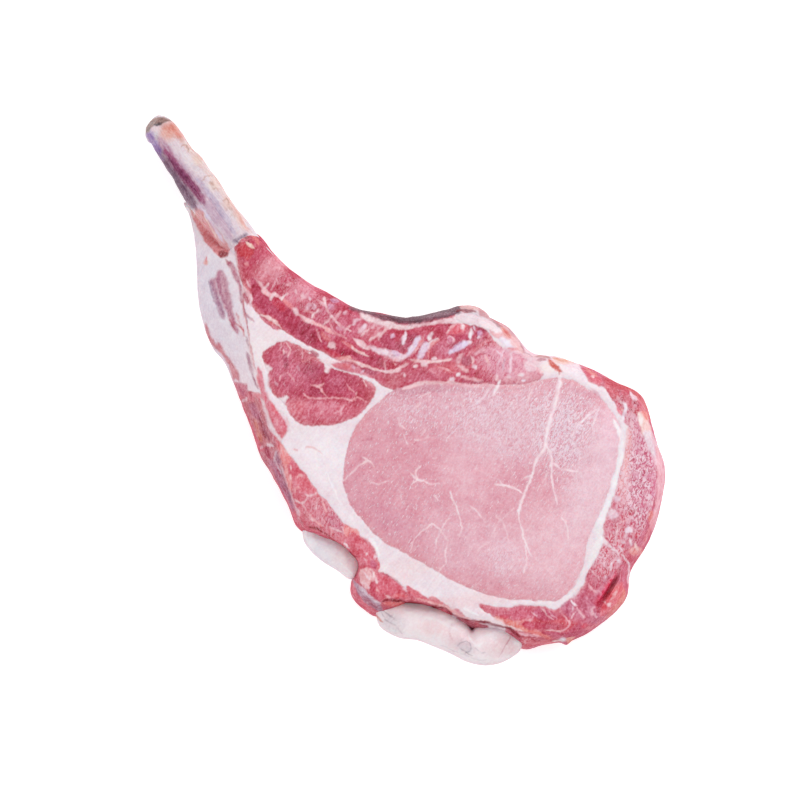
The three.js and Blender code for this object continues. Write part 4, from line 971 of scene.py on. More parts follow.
    ("#e8c3c6", 11, 88, 322, 265, 29, -18, 54, -51, 15, -21, 7, -22),
    ("#d8434e", 7, 90, 380, 149, 40, -5),
    ("#f2d6e2", 9, 85, 391, 138, -4, -80),
    ("#f0d4e2", 7, 80, 336, 145, 20, -21),
    ("#f0d4e2", 7, 80, 365, 145, -18, -43, -11, -15),
    ("#d9bccb", 11, 75, 369, 116, -11, -47),
    ("#f0b8b8", 9, 80, 296, 120, 15, -25),
    ("#c95a74", 9, 80, 311, 131, 7, -15),
    ("#cc5f7c", 9, 80, 325, 113, 8, -15),
    ("#c66a80", 9, 75, 315, 87, 7, -22),
    ("#f8f0f4", 15, 92, 416, 55, 22, 0),
    ("#f0e0ee", 12, 85, 431, 33, 14, 0),
    ("#f4dfe6", 15, 85, 376, 47, 15, 0),
    ("#f6d8de", 12, 80, 336, 58, 0, -22),
    ("#b98a94", 7, 80, 424, 145, 47, -25),
    ("#c08884", 9, 80, 475, 122, 40, -2, 18, -5),
    ("#b8707c", 11, 80, 485, 109, 30, 0),
    ("#cc5548", 12, 90, 529, 105, 40, -36),
    ("#d08078", 6, 80, 565, 69, 0, -14),
    ("#e3a68c", 11, 85, 540, 116, 58, -11),
    ("#b9566c", 6, 85, 278, 33, 37, -6, 29, 4, 43, -6),
    ("#b46a80", 7, 80, 395, 24, 10, -2, 15, 3),
    # Eye: white veins and short flecks.
    ("#faecf1", 11, 95, 568, 55, -6, -59, -44, -156, -5, -39, -35, -66, -11, -40),
    ("#f8e6ec", 9, 85, 482, -262, -55, -149, -7, -40),
    ("#f8e6ec", 7, 85, 424, -418, -4, -33, 4, -40, 11, -47, 29, -69),
    ("#f8ebf2", 18, 60, 562, 29, -37, -153),
    ("#f7e3ea", 6, 92, 441, -567, 4, -58, -10, -40),
    ("#f7e6ee", 6, 77, 609, 36, -7, -47),
    ("#f5dce2", 9, 67, 358, -433, -11, -47, -22, -44),
    ("#f5dce2", 6, 82, 365, -465, 37, 36),
    ("#f5d8e0", 7, 77, 242, -156, 80, -29),
    ("#e3a2b3", 9, 67, 555, -167, 36, 14, 33, -14),
    ("#dc98ab", 9, 57, 678, 7, 29, -29, 15, -29),
    ("#d591a5", 8, 57, 373, -7, -58, -80),
    ("#f7e3ea", 8, 97, 515, -204, 20, -32, 5, -99, 18, -80),
    ("#f7e3ea", 7, 97, 542, -262, 34, -22, 73, -20),
    ("#f7e0e6", 8, 97, 431, -375, -33, 22, -65, 11),
    ("#f7e0e6", 7, 97, 484, 33, -46, -102),
    ("#f9edf4", 7, 97, 700, -69, -62, -51, -29, -55),
    ("#f9edf4", 7, 92, 709, -62, -27, -83),
    ("#f7dee4", 9, 97, -16, -103, 2, -22, 21, -18),
    ("#f7dee4", 7, 97, 24, -298, 27, -26, 24, -5),
    ("#f7dee4", 6, 97, 51, -324, -6, 26, 19, 22),
    ("#f7dee4", 6, 97, 51, -324, -20, -21),
    ("#f7dee4", 6, 97, 75, -329, 21, -13, 29, 4),
    ("#f5d8de", 7, 97, -222, -331, 57, 51, 38, 22, 22, -22),
    ("#f5d8de", 6, 87, -127, -258, -20, 18),
    ("#f7e2e7", 7, 97, 165, -364, 44, -120, -7, -54),
    ("#f7dee4", 7, 92, 22, -585, 20, 43, 28, 29, 36, 26, 30, -26, 24, -36, -5, -40, 0, -46),
    ("#c9697e", 7, 70, -151, -185, 44, 14),
    ("#f5d8de", 6, 87, -122, -338, 33, -2, 33, 9),
    ("#f5dce2", 6, 97, -4, -156, 24, -48),
    ("#f5dce2", 6, 87, 31, -73, 33, 28),
    ("#f5dce2", 6, 87, 67, -22, 33, 13),
    ("#f5dce2", 6, 87, 60, -171, 22, 29),
    ("#f5dce2", 6, 87, 38, -180, 29, -2, 26, 11),
    ("#f8e9ef", 8, 97, 153, -11, 7, 11),
    ("#f7e2e7", 7, 97, 104, -247, 9, -4, 5, 7),
    ("#f7e2e7", 6, 87, 111, -382, 16, -22),
    ("#f5dce2", 6, 77, 264, -589, 29, 25, 29, 15),
    ("#f4d8de", 6, 77, 336, -455, 29, -36, 15, -54),
    ("#f5dce2", 6, 77, 569, -455, 22, -36, 7, -54),
    ("#f5dce2", 6, 77, 242, -422, 29, -22, 22, -36),
    ("#f9f0f5", 14, 87, 351, 36, -26, -61),
    ("#f7e8f0", 8, 87, 311, 0, -55, -58),
    ("#f7e2e7", 5, 85, 169, -465, -22, -22, -11, -26),
    ("#f7e2e7", 5, 80, 424, -327, 47, 22),
    ("#f7e2e7", 5, 80, 155, -633, -22, -22, -15, -32),
    ("#f7e2e7", 4, 80, 136, -513, -18, -36, 7, -29),
    ("#f7e0e6", 4, 80, 362, -345, -22, 21, -25, 8),
    ("#f7e0e6", 4, 80, 536, -265, -14, -40, -26, -30),
    # The white seam between the eye and the cap.
    ("#f6f0f4", 18, 95, 762, -109, 18, -36, 9, -37, -5, -73, -19, -65),
    ("#f4eef3", 24, 95, 765, -305, -9, -66, -38, -91, -11, -69),
    ("#efe7ea", 33, 95, 711, -487, -7, -69, -33, -84),
    ("#eddfe6", 25, 90, 660, -640, -7, -29, -33, -66, -25, -21),
    # Top of the cap: rims and white folds.
    ("#faf0f2", 12, 92, 682, 49, 11, -5),
    ("#cf5c60", 15, 85, 780, 18, 51, -22, 22, -18, 18, -18, 11, -18, 5, -22),
    ("#f0d4dc", 9, 88, 776, -22, 19, -25),
    ("#e88a84", 12, 80, 787, -62, 6, -14),
    ("#f2e6f2", 12, 92, 802, -44, 5, -18, -14, -43),
    ("#f3e2ec", 11, 92, 824, -7, 14, -26, 11, -5),
    ("#b84a60", 7, 80, 813, -55, 18, -25),
    ("#f4ecec", 15, 92, 853, -87, 7, -18, 2, -19),
    ("#e9b4b8", 9, 85, 900, -160, 33, -80),
    # The cap's inner edge is salmon, its outer band has pale spots, and its lean has white lumps and
    # painted highlights: small white glints.
    ("#f0b0b2", 22, 75, 813, -138, 3, -44, -12, -120),
    ("#eba6aa", 18, 75, 795, -305, -15, -73),
    ("#f3d3dc", 15, 80, 911, -236, 7, -33),
    ("#e8959e", 15, 75, 915, -444, -11, -43, -37, -77),
    ("#f3ccd4", 7, 90, 778, -487, -8, -73),
    ("#f0c4cc", 7, 85, 776, -487, 44, 18),
    ("#c0445a", 9, 85, 816, -444, 15, 4, 11, -7),
    ("#c24a62", 9, 85, 758, -473, 26, 8),
    ("#c24a62", 9, 85, 755, -487, 29, 11),
    ("#f0c8d2", 6, 85, 758, -479, 29, 8),
    ("#f5e6f0", 17, 90, 809, -520, 11, 15, 7, -11),
    ("#f3e4f0", 11, 88, 798, -538, 9, 9),
    ("#f4eaf4", 12, 90, 789, -544, 13, -9),
    ("#f4dfe8", 9, 88, 820, -538, 9, -26),
    ("#f6dcd8", 9, 85, 838, -556, 15, -26),
    ("#fbf4f8", 15, 92, 718, -535, 7, -14, 11, -9),
    ("#f7ecf2", 7, 90, 725, -538, 30, -33),
    ("#f3dfe8", 7, 88, 729, -549, 11, -18, 11, -4),
    ("#f6e4ec", 8, 90, 751, -580, 14, 0, 11, -9, 6, -13),
    ("#f0d4de", 6, 85, 747, -589, 11, -2, 15, -13),
    ("#f3e0ec", 9, 88, 780, -564, 15, -18),
    ("#f3dce6", 7, 88, 791, -593, 25, -32),
    ("#f3e0ec", 16, 90, 776, -618, 13, -2),
    ("#f6e8f2", 11, 92, 756, -625, -7, -30),
    ("#efc8d4", 6, 85, 727, -615, 2, -29),
    ("#f4e2ea", 11, 90, 816, -625, 6, -37, -6, -22, 1, -21),
    ("#dd7a8a", 15, 60, 864, -575, -33, -65, -4, -29),
    ("#f2dce8", 9, 88, 731, -682, 7, 4),
    ("#f0c8d2", 5, 80, 705, -673, 0, -18),
    ("#efc4ce", 6, 80, 682, -655, 18, -25),
    ("#f2c0cc", 8, 90, 664, -702, 29, -30, 22, -1),
    ("#c2506c", 15, 75, 664, -705, -8, -30, -14, -25, -7, -25),
    ("#cf7890", 22, 75, 758, -662, -62, -102),
    ("#f3c4c8", 11, 70, 751, -760, 11, 11, 11, 22),
    ("#f3ccd4", 7, 85, 755, -682, 9, 4),
    ("#e8948a", 22, 75, 802, -727, -4, -29, -18, -26, -44, -43),
    ("#f5d6de", 15, 85, 742, -775, 7, -10),
    ("#f0bcc4", 7, 80, 725, -767, 11, -11),
    ("#f0c4cf", 9, 85, 693, -785, -8, -15, 8, -18, 7, -7),
    ("#eab0be", 7, 80, 675, -807, 10, -15, -7, -11),
    ("#f0b0bc", 7, 85, 627, -785, 22, -33),
    ("#f6ccd4", 11, 88, 647, -815, 8, -9),
    ("#f8eaf2", 11, 92, 607, -767, 9, -9, 11, -4),
    ("#f1ccd8", 7, 85, 611, -785, 0, -11),
    ("#f0c8d4", 7, 85, 616, -807, -7, -22),
    ("#efb8c4", 7, 85, 573, -815, 31, -29, -13, -18, -15, -11),
    ("#e8929a", 11, 80, 660, -865, 25, 3, 30, 18, 25, 26),
    ("#c2506c", 15, 75, 576, -884, 29, -1, 51, 16),
    ("#ecdcdc", 9, 90, 544, -913, 43, 4),
    ("#e4eaf2", 11, 88, 576, -904, 8, -3),
    # Bottom strip: webs of fat, the salmon rim and its white lining, and films beside the lower lobe.
    ("#f0c6cc", 6, 85, 500, -795, 7, -1, 22, -26, 15, -11),
    ("#e9b4c0", 5, 80, 464, -804, 21, -18),
    ("#e6b0be", 5, 70, 529, -804, 11, -14, 15, -7),
    ("#ecb0bc", 7, 80, 431, -835, 36, 4),
    ("#f0a8a8", 11, 80, 405, -844, 33, 9),
    ("#f39e94", 20, 85, 333, -825, 120, -48),
    ("#ee8884", 15, 80, 453, -871, 87, -31),
    ("#f4dfe6", 18, 90, 278, -807, 29, -18, 33, -13),
    ("#f6d8da", 8, 90, 271, -829, 98, -29, 66, -15),
    ("#f4b8c4", 11, 88, 420, -880, 55, -13),
    ("#f3b0b8", 8, 85, 467, -885, 29, -13),
    ("#f4ccd4", 9, 85, 442, -909, 7, -11),
    ("#e9b8bf", 6, 85, 515, -869, 47, -6, 14, 6),
    # Flank muscle: white nets between its bundles, its salmon edge, and glints.
    ("#efd3db", 7, 90, -316, -373, -17, -11, -12, -1, -12, 8),
    ("#efd3db", 7, 90, -345, -385, -20, -23, -32, 12),
    ("#f1d3da", 6, 85, -308, -391, -10, -41),
    ("#efc8d0", 6, 85, -393, -400, 26, -13, 31, -53, 61, -37),
    ("#efc8d0", 5, 80, -362, -444, 20, -23, 20, -11),
    ("#f0cdd4", 9, 85, -267, -495, 46, -21),
    ("#efc8d0", 5, 85, -220, -491, 4, -24),
    ("#f0a4a4", 18, 80, -435, -262, 22, -65, 8, -37),
    ("#f6d4d6", 7, 85, -409, -273, 4, -18),
    ("#f6d4d6", 7, 85, -409, -305, 5, -17),
    ("#f3c0c0", 8, 88, -387, -315, 14, 8, 11, -4),
    ("#d4586c", 5, 80, -455, -196, 13, -40),
    ("#d04c60", 6, 80, -376, -353, 32, -22),
    ("#f0b0b4", 7, 80, -398, -364, 14, 9, 11, -1),
    ("#f3b8bc", 7, 80, -395, -356, 0, -19),
    ("#f4d8dc", 7, 88, -391, -400, 15, -9),
    ("#f2b8bc", 6, 80, -296, -400, 18, -47),
    ("#f3a8aa", 7, 85, -336, -465, 40, -33),
    ("#f4c4c8", 7, 88, -344, -447, 11, -18),
    ("#c4545f", 18, 75, -365, -458, 14, 0),
    ("#f4c0c6", 9, 85, -264, -502, 8, -11, -8, -11),
    ("#f6dce6", 8, 88, -216, -556, 14, -9),
    ("#f0ccd6", 7, 85, -209, -569, 14, -4),
    ("#f3d6e0", 8, 85, -136, -591, 7, -5),
    ("#f0c0cc", 6, 80, -144, -607, 11, -18),
    ("#e83c58", 6, 88, -87, -622, 0, -18, -6, -9),
    ("#f4e2ee", 11, 88, -107, -607, 12, 3),
    ("#f6e0e8", 7, 85, -147, -658, 11, -18, 14, -15),
    ("#c84060", 6, 80, -125, -651, 10, -11, 0, -11),
    ("#f3ccd4", 7, 85, -155, -698, 15, -4, 15, -18),
    ("#fae8ee", 11, 90, -111, -662, 15, -40),
    ("#c25a72", 8, 80, -82, -660, 51, -29, 22, -18),
    ("#f3c0c4", 7, 85, -100, -720, 11, -11),
    ("#fbe0e4", 9, 90, -64, -747, 13, -6),
    ("#ec8088", 12, 80, -42, -749, 29, 5, 29, -3),
    ("#e6d0e0", 11, 85, -2, -716, 11, -13),
    ("#f0a8a8", 9, 85, 176, -804, 59, -27),
    ("#f4c4c4", 9, 88, 53, -756, 32, -8, 30, -14, 54, -18, 44, -26, 29, -7),
    ("#b84a58", 9, 80, 16, -765, 102, -17),
    ("#c43c50", 11, 88, -2, -780, 55, -9),
    ("#cc3048", 11, 88, 133, -802, 40, -18),
    ("#cf6470", 18, 70, 264, -836, 7, -22),
    ("#b06c80", 15, 85, -151, -749, 58, -47),
    ("#9c5064", 6, 80, -136, -760, 36, -33),
    ("#d9c8d6", 11, 85, -169, -702, 54, -54, 30, -22),
]
SHADED_CLEFTS = [
    # Clefts between the pieces, deepest at the bottom edge and in the cap: grooves whose dark reds are
    # painted shade, with bright red lean beside the cap's fold.
    ("#a81c2c", 9, 3, 95, -50, -347, -496, 29, -8, 65, -41),
    ("#a83048", 7, 3, 90, -30, -253, -545, 44, -37, 33, -20, 11, 0),
    ("#8c1020", 10, 4, 95, -50, -78, -771, 33, 9, 61, -11),
    ("#86101f", 10, 4, 95, -80, -20, -767, 153, -26, 43, -22),
    ("#640a16", 7, 3, 90, -60, 89, -786, 51, -9),
    ("#a4283a", 8, 3, 90, -50, 176, -815, 44, -18, 29, -5),
    ("#9c2c3c", 7, 3, 85, -40, 227, -835, 88, -10),
    ("#8c1f30", 9, 4, 92, -60, 278, -838, 113, -33),
    ("#8c2030", 12, 4, 92, -60, 384, -869, 43, -26),
    ("#b82038", 8, 3, 88, -30, 449, -895, 36, -16),
    ("#c23a50", 11, 4, 90, -20, 784, -647, -19, -29),
    ("#d8506c", 25, 9, 80, 0, 773, -665, -58, -91, -15, -29),
    ("#e03a60", 13, 4, 95, 0, 765, -673, -58, -98),
    ("#b8243f", 11, 4, 90, -30, 707, -767, -2, -40),
    ("#5a2030", 7, 3, 85, -30, 254, -889, 1, -7),
]
LOBE_SPOTS = [
    # The soft lobes of fat.
    ("#ece6ee", 80, 70, -296, -575, 80, 58, -35),
    ("#f3e2e6", 60, 60, -213, -625, 58, 29, -30),
    ("#f5f0f5", 70, 50, -333, -556, 18, 29, -30),
    ("#d3c8cf", 60, 70, -42, -844, 47, 33, -30),
    ("#f2d9dd", 80, 60, 104, -869, 55, 25, -10),
    ("#ecd0d6", 70, 60, 205, -909, 51, 33, -15),
    ("#e7c9ce", 70, 60, 369, -935, 65, 33, 0),
    ("#cdc4cc", 55, 70, 227, -935, 33, 22, -15),
    # Painted highlight: a glint on the lower lobe.
    ("#f4eef0", 80, 50, 417, -914, 15, 15, 0),
]
LOBE_STROKES = [
    # Lobes: salmon and pale lines, grey lines, painted highlights on their ridges and edges, and painted
    # shade in a crease.
    ("#d9938a", 11, 90, -192, -712, 24, -43, 32, -40, 59, -51),
    ("#f3dcd8", 4, 70, -184, -731, 26, -40, 36, -36),
    ("#9d8b96", 4, 60, -93, -793, 69, -47),
    # Painted highlight on the upper lobe.
    ("#f8f4f8", 7, 70, -231, -629, 62, -55),
    # Painted shade: the dark line of a crease in the lower lobe.
    ("#c9909a", 4, 80, 389, -900, -46, -75),
    ("#d7a5ad", 5, 60, 176, -844, -7, -36, 11, -33),
    ("#b3a5b1", 4, 80, 198, -931, 18, 18, 26, -7, 3, -25, -25, -15),
    # Painted highlight: white edges at the lower lobe's notch.
    ("#faf6f9", 7, 95, 238, -884, 11, -25, 18, -18, 22, 14),
    ("#9c8c98", 4, 70, 209, -938, 18, -18, 26, -11),
    ("#a999a5", 4, 70, 256, -931, 22, -18, 26, -4),
    ("#a493a0", 4, 60, -82, -811, 18, -29, 33, -15, 26, -32),
    # Painted highlights along the lower lobe's upper ridge and its right edge.
    ("#f8f3f6", 11, 60, 2, -804, 73, -18, 72, -25, 62, -33),
    ("#f8f3f6", 6, 80, 293, -895, 43, 15, 44, 0, 29, -18),
    ("#cdbfc8", 4, 60, 133, -927, 116, -48, 58, -7),
]
BONE_SPOTS = [
    # Washes over the bare bone, from its sawn end down to where it enters the meat.
    ("#e6cdd4", 90, 50, -902, 955, 18, 13, 0),
    ("#dfa093", 90, 60, -856, 942, 29, 33, 0),
    ("#cf7f70", 85, 60, -835, 956, 13, 22, 30),
    ("#d98a7c", 80, 60, -818, 927, 13, 25, 30),
    ("#b49cc6", 85, 60, -924, 933, 15, 15, 40),
    ("#e7dbe0", 70, 70, -784, 836, 22, 33, 35),
    ("#dcbfae", 70, 70, -749, 836, 16, 18, 0),
    ("#ddc2b4", 60, 70, -689, 749, 18, 22, 0),
    ("#dcb9ac", 60, 70, -642, 680, 18, 22, 0),
    ("#e6bdb8", 60, 70, -591, 629, 15, 29, 35),
]
BONE_PATCHES = [
    # The sawn end.
    ("#d98f92", 4, 85, 0, -755, 669, 22, -7, 95, -138, 7, -29, -18, -15, -33, 29, -29, 44, -47, 87),
    # The bone's far end, where it shows beside the meat: dark skin, a warm tip and a brownish rim.
    ("#74505d", 4, 97, 0, -267, 364, 182, -51, 109, -18, 72, 3, 55, 22, 54, 7, 4, -29, 11, -36, -87, -44,
        -146, -22, -182, 22, -72, 66),
    ("#9c7985", 5, 80, 0, 75, 262, 72, 20, 29, 3, 11, -7, -69, -23, -36, -4),
    ("#dba3a4", 4, 95, 0, 198, 342, 44, 0, 51, -22, 0, -36, -29, 7, -37, 4, -22, 3),
    ("#8e3d49", 3, 85, 0, 191, 289, 29, 6, 29, -2, 15, -8, -29, -5, -37, -2),
    ("#c58b92", 4, 95, 0, 285, 327, 59, -22, 80, -50, 36, -91, -55, -19, -54, 55, -44, 55, -36, 25),
    ("#93726c", 4, 95, 10, -942, 936, -2, 20, 9, 15, 18, 16, 26, 8, 26, -4, 20, -11, -19, -4, -20, -11, -21,
        -1, -15, -11, -10, -15),
]
BONE_STROKES = [
    # Sawn end: a darker hollow and its warm rim.
    ("#5d565c", 9, 85, -911, 965, 31, 7),
    ("#6f5f5b", 11, 75, -937, 945, 12, 13),
    ("#b47f70", 7, 70, -922, 983, 29, 8),
    # Bands along the bone: warm edge, mauve middle, maroon, plum and violet.
    ("#dfc0b8", 29, 60, -813, 913, 124, -146, 113, -182),
    ("#c8a9bd", 47, 90, -864, 884, 149, -200, 84, -131),
    ("#c0b0c6", 18, 85, -755, 771, 35, -38, 64, -93, 51, -87),
    ("#9c8fae", 5, 70, -707, 702, 94, -146),
    ("#b8829c", 29, 80, -889, 920, 18, -33, 51, -69),
    ("#97426c", 36, 92, -871, 873, 149, -193),
    ("#7f3c60", 22, 85, -856, 851, 58, -73, 47, -69),
    ("#7c566f", 44, 95, -904, 884, 99, -157, 29, -40, 21, -22),
    ("#6d4a63", 22, 70, -871, 825, 84, -120),
    ("#9a7ab2", 29, 90, -933, 935, 48, -70),
    ("#8a6496", 18, 60, -911, 891, 36, -55),
    ("#6c2c50", 4, 70, -827, 825, 83, -116),
    ("#6c2c50", 4, 60, -784, 785, 51, -72),
    ("#8d6480", 4, 70, -899, 929, 19, -53, 38, -54),
    ("#d8c4d4", 4, 60, -893, 927, 40, -58),
    # The white fold beside it, marks of the dried skin, and painted shade where the bone goes in under the
    # meat.
    ("#f0d6ce", 6, 85, -725, 640, 47, -87),
    ("#c8636c", 6, 80, -729, 622, 58, -98),
    ("#c0505a", 11, 80, -664, 520, 15, -11, 11, -14),
    ("#ddd2e8", 11, 90, -753, 673, 31, -26, 69, -114),
    ("#b98d80", 6, 80, -811, 884, 13, 9, 14, -13, -1, -16),
    ("#c79a8d", 6, 70, -838, 916, 14, 6, 15, -17),
    ("#b98d80", 6, 75, -736, 760, 14, 16, 22, 4),
    ("#b98d80", 6, 75, -715, 747, 15, 8, 13, -11),
    ("#c39a8e", 6, 70, -696, 720, 14, 13, 11, -9),
    ("#b98d80", 6, 75, -660, 684, 13, 12, 11, -11, -9, -12),
    ("#b98d80", 6, 70, -645, 653, 10, 11, 11, -11),
    ("#c39a8e", 5, 70, -635, 629, 11, 9, 11, -11),
    ("#d29c92", 7, 70, -836, 975, 61, -93, 35, -33, 64, -85, 92, -149, 33, -44),
    ("#dda39a", 11, 70, -635, 691, 77, -120),
    # Painted shade where the bone goes in under the meat.
    ("#806a84", 18, 90, -620, 540, 18, 4, 37, 25),
]

# %% Who takes which marks
# Each entry: how the mark covers, the tissue that alone takes it (or "all"), and the marks.
MEAT_MARKS = [(cover_of_spot, tissue, washes) for tissue, washes in WASHES.items()]
MEAT_MARKS += [(cover_of_spot, "all", SPOTS), (cover_of_patch, "all", PATCHES),
               (cover_of_stroke, "all", STROKES), (cover_of_cleft, "all", SHADED_CLEFTS)]
LOBE_MARKS = [(cover_of_spot, "all", LOBE_SPOTS), (cover_of_stroke, "all", LOBE_STROKES)]
BONE_MARKS = [(cover_of_spot, "all", BONE_SPOTS), (cover_of_patch, "all", BONE_PATCHES),
              (cover_of_stroke, "all", BONE_STROKES)]
print("marks:", sum(len(marks) for _, _, marks in MEAT_MARKS + LOBE_MARKS + BONE_MARKS))

# %% [markdown]
# ## Which tissue lies where
#
# Where lean meets fat, the cut smears them a little. A hard step would look drawn, so every place
# gets a share of each tissue.

# %% Tissue shares
SEAM_EDGE = 0.3                # softness of the line between lean and fat, mm


def shares_at(x, y):
    """Which tissue lies at each place. The muscle that was cut first keeps what several outlines
    cover; the fat takes what is left."""
    shares, left = {}, np.ones(len(x))
    for name, depths in depth_maps.items():
        inner = left * ease(0.5 + read_map(depths, x, y) / (2 * SEAM_EDGE))
        shares[name], left = inner, left - inner
    return {**shares, "fat": left, "all": np.ones(len(x))}


# %% [markdown]
# ## The form of the upper face
#
# The cut face swells slowly, each muscle crowns a little and the rim turns down, as on the solids.
# Bumps, a groove along each seam, the fold in the cap and the marks' own heights could be left to the
# shader, but they are added to the mesh, so that they show from all sides.

# %% The face's sizes
FACE_HEIGHT = 25.0
WIDEST_HEIGHT = 6.0
SWELL, SWELL_LENGTH = 0.5, 33.0
CROWNS = {"loin_eye": (1.3, 16.0), "side_muscle": (0.6, 8.0), "rib_muscle": (0.8, 8.0)}
SEAM_DEPTH, SEAM_HALF_WIDTH = 0.16, 0.45
UNEVEN = ((11.0, 0.28), (3.4, 0.10), (1.3, 0.05))   # size and height of bumps, mm
RIM_DROP, RIM_TURN = 1.1, 3.2   # how far the rim of the face is rounded down, and over what width
FOLD_LINE = [(70.0, -78.5), (72.9, -74.5), (75.8, -70.2), (78.4, -66.2)]
FOLD_DEPTH, FOLD_HALF_WIDTH = 4.0, 1.0
SWELL_SHIFT = (0.6, -0.4)      # radians by which the swell's two waves are shifted
FOLD_ENDS = 0.15               # depth of the fold at its ends, as a share of its middle's

rim_map = depth_map(even_outline([place[:2] for place in RIB_SIDE + CAP_SIDE + FAT_SIDE],
                                 OUTLINE_SPACING))


# %% The face's height
def heights_of(groups, x, y):
    """The sum of the marks' own heights at each place."""
    total, shares = np.zeros(len(x)), shares_at(x, y)
    for cover, tissue, marks in groups:
        for mark in marks:
            some, share, height = cover(mark, x, y)
            total[some] += share * height * shares[tissue][some]
    return total


def bumps(x, y):
    """Slow and fine unevenness, the same on meat and fat."""
    return layered(UNEVEN, x, y, "bumps")


def relief(x, y):
    """Fine height above the plain face: bumps, a groove of exp(-d^2) along each seam, the fold as a
    straight-sided V, and each mark's own height."""
    total = bumps(x, y)
    wx, wy = wander(x, y)
    for depths in depth_maps.values():
        total = total - SEAM_DEPTH * np.exp(-(read_map(depths, wx, wy) / SEAM_HALF_WIDTH) ** 2)
    gap, along = distance_to(smooth_line(FOLD_LINE), x, y)
    share = FOLD_ENDS + (1 - FOLD_ENDS) * np.sin(np.pi * along)
    total = total - FOLD_DEPTH * share * np.clip(1 - gap / FOLD_HALF_WIDTH, 0, 1)
    return total + heights_of(MEAT_MARKS, wx, wy)


def face_height(x, y):
    """Height of the plain upper face: a slow swell, crowns of h s (2 - s) that reach their full
    height where the depth inside the muscle's outline passes the rise, and a rim that turns down
    with the square of how near it is."""
    waves = np.sin(x / SWELL_LENGTH + SWELL_SHIFT[0]) * np.cos(y / SWELL_LENGTH + SWELL_SHIFT[1])
    height = FACE_HEIGHT + SWELL * waves
    height = height - RIM_DROP * np.clip(1 - read_map(rim_map, x, y) / RIM_TURN, 0, 1) ** 2
    for name, (crown, rise) in CROWNS.items():
        share = np.clip(read_map(depth_maps[name], x, y) / rise, 0, 1)
        height = height + crown * share * (2 - share)
    return height


print("height of the face at the origin:", round(float(face_height(np.zeros(1), np.zeros(1))[0]), 2))

# %% [markdown]
# ## Meshes from arrays
#
# Points could be added one by one with bmesh, but half a million of them take minutes that way.
# foreach_set fills a mesh from whole arrays: points in millimetres, and triangles of their numbers.


# %% Meshes from arrays
def mesh_object(name, points, triangles):
    """An object at the origin whose mesh holds the points, in metres, and the triangles."""
    mesh = bpy.data.meshes.new(name)
    mesh.vertices.add(len(points))
    mesh.vertices.foreach_set("co", (points * MM).astype(np.float32).ravel())
    mesh.loops.add(triangles.size)
    mesh.loops.foreach_set("vertex_index", triangles.astype(np.int32).ravel())
    mesh.polygons.add(len(triangles))
    mesh.polygons.foreach_set("loop_start", np.arange(0, triangles.size, 3, dtype=np.int32))
    mesh.update(calc_edges=True)
    return new_object(name, mesh)


def arrays_of(mesh):
    """A mesh's points in mm and its triangles."""
    mesh.calc_loop_triangles()
    points = np.empty(len(mesh.vertices) * 3, np.float32)
    mesh.vertices.foreach_get("co", points)
    triangles = np.empty(len(mesh.loop_triangles) * 3, np.int32)
    mesh.loop_triangles.foreach_get("vertices", triangles)
    return points.reshape(-1, 3) / MM, triangles.reshape(-1, 3)


def outward(points, triangles):
    """The triangles, all turned round if the volume they enclose comes out negative."""
    a, b, c = (points[triangles[:, k]] for k in range(3))
    volume = (a * np.cross(b, c)).sum()
    return triangles[:, ::-1] if volume < 0 else triangles


def compact(points, triangles):
    """Only the points that the triangles use, and the triangles with the points' new numbers."""
    used = np.unique(triangles)
    number = np.zeros(len(points), int)
    number[used] = np.arange(len(used))
    return points[used], number[triangles]


def quads_to_triangles(a, b, c, d):
    """Two triangles for each quad of corner numbers, without those that have no area."""
    two = np.concatenate([np.stack([a, b, c], -1).reshape(-1, 3), np.stack([a, c, d], -1).reshape(-1, 3)])
    flat = (two[:, 0] == two[:, 1]) | (two[:, 1] == two[:, 2]) | (two[:, 2] == two[:, 0])
    return two[~flat]


# %% [markdown]
# ## The blank
#
# A bevelled slab would be simple, but the slice's side slopes far out on the flank and hardly at all
# by the cap. So it is one closed surface. Its face is a lens: column i runs from a point on the rib
# and cap sides to the point of the fat side with the same share of the way, and all columns meet at
# the bone end and at the far corner. The side curves out to the widest line and in to the base.

# %% The blank's sizes
COLUMNS = 630                  # steps along the face, from the bone end to the far corner
ROWS = 300                     # steps across it
BASE_ROWS = 64
WALL_STEPS = 44                # steps from the rim of the face down to the widest line
FOOT_STEPS = 8                 # steps from there down to the base
UNDERSIDE_INSET = 3.0          # how far the base's edge lies inside the widest line, mm
NARROW_WIDTH = 10.0            # where the slice is narrower than about this, the inset shrinks, mm
FULL_SHOULDER, HOLLOW_SHOULDER = (0.8, 0.5), (0.35, 0.3)   # middle of the side's curve: out, up
HOLLOW_FLARE = (16.0, 22.0)    # a side that flares this far goes from full to hollow, mm
SIDE_UNEVEN = ((6.0, 0.28), (2.2, 0.12))   # size and height of bumps, mm
SIDE_FADE = 0.7                # power of the sine by which they fade out at face and base
SIDE_SHEAR = (0.6, -0.8)       # how far the bumps' places shift for each mm of height
FADE_HEIGHT = 8.0              # the face's relief dies out below this height above the widest line
PUSHES = [                     # where, which way and how widely the outside swells or shrinks, mm
    (90.5, -6.5, 0.8, 0.3, 6.0), (94.5, -28.0, 0.7, 0.0, 14.0), (91.0, -50.0, 1.0, -0.3, 12.0),
    (79.0, -79.0, 0.8, -0.6, 8.0), (64.0, -89.5, 0.2, -0.7, 7.0), (59.3, -91.5, 0.2, -1.4, 1.7),
    (30.0, 29.2, -0.8, -1.3, 6.8), (17.3, 31.0, 0.0, -1.0, 4.0), (41.0, 19.0, 0.8, 0.6, 5.0),
    (-66.0, 10.5, 0.9, -0.4, 5.0), (-51.5, -24.5, -0.6, -0.3, 5.0), (-14.0, -81.0, 0.5, 0.6, 4.0),
    (-75.0, 37.0, -0.5, 0.0, 8.0), (48.0, -94.0, 0.0, 0.5, 4.0),
]


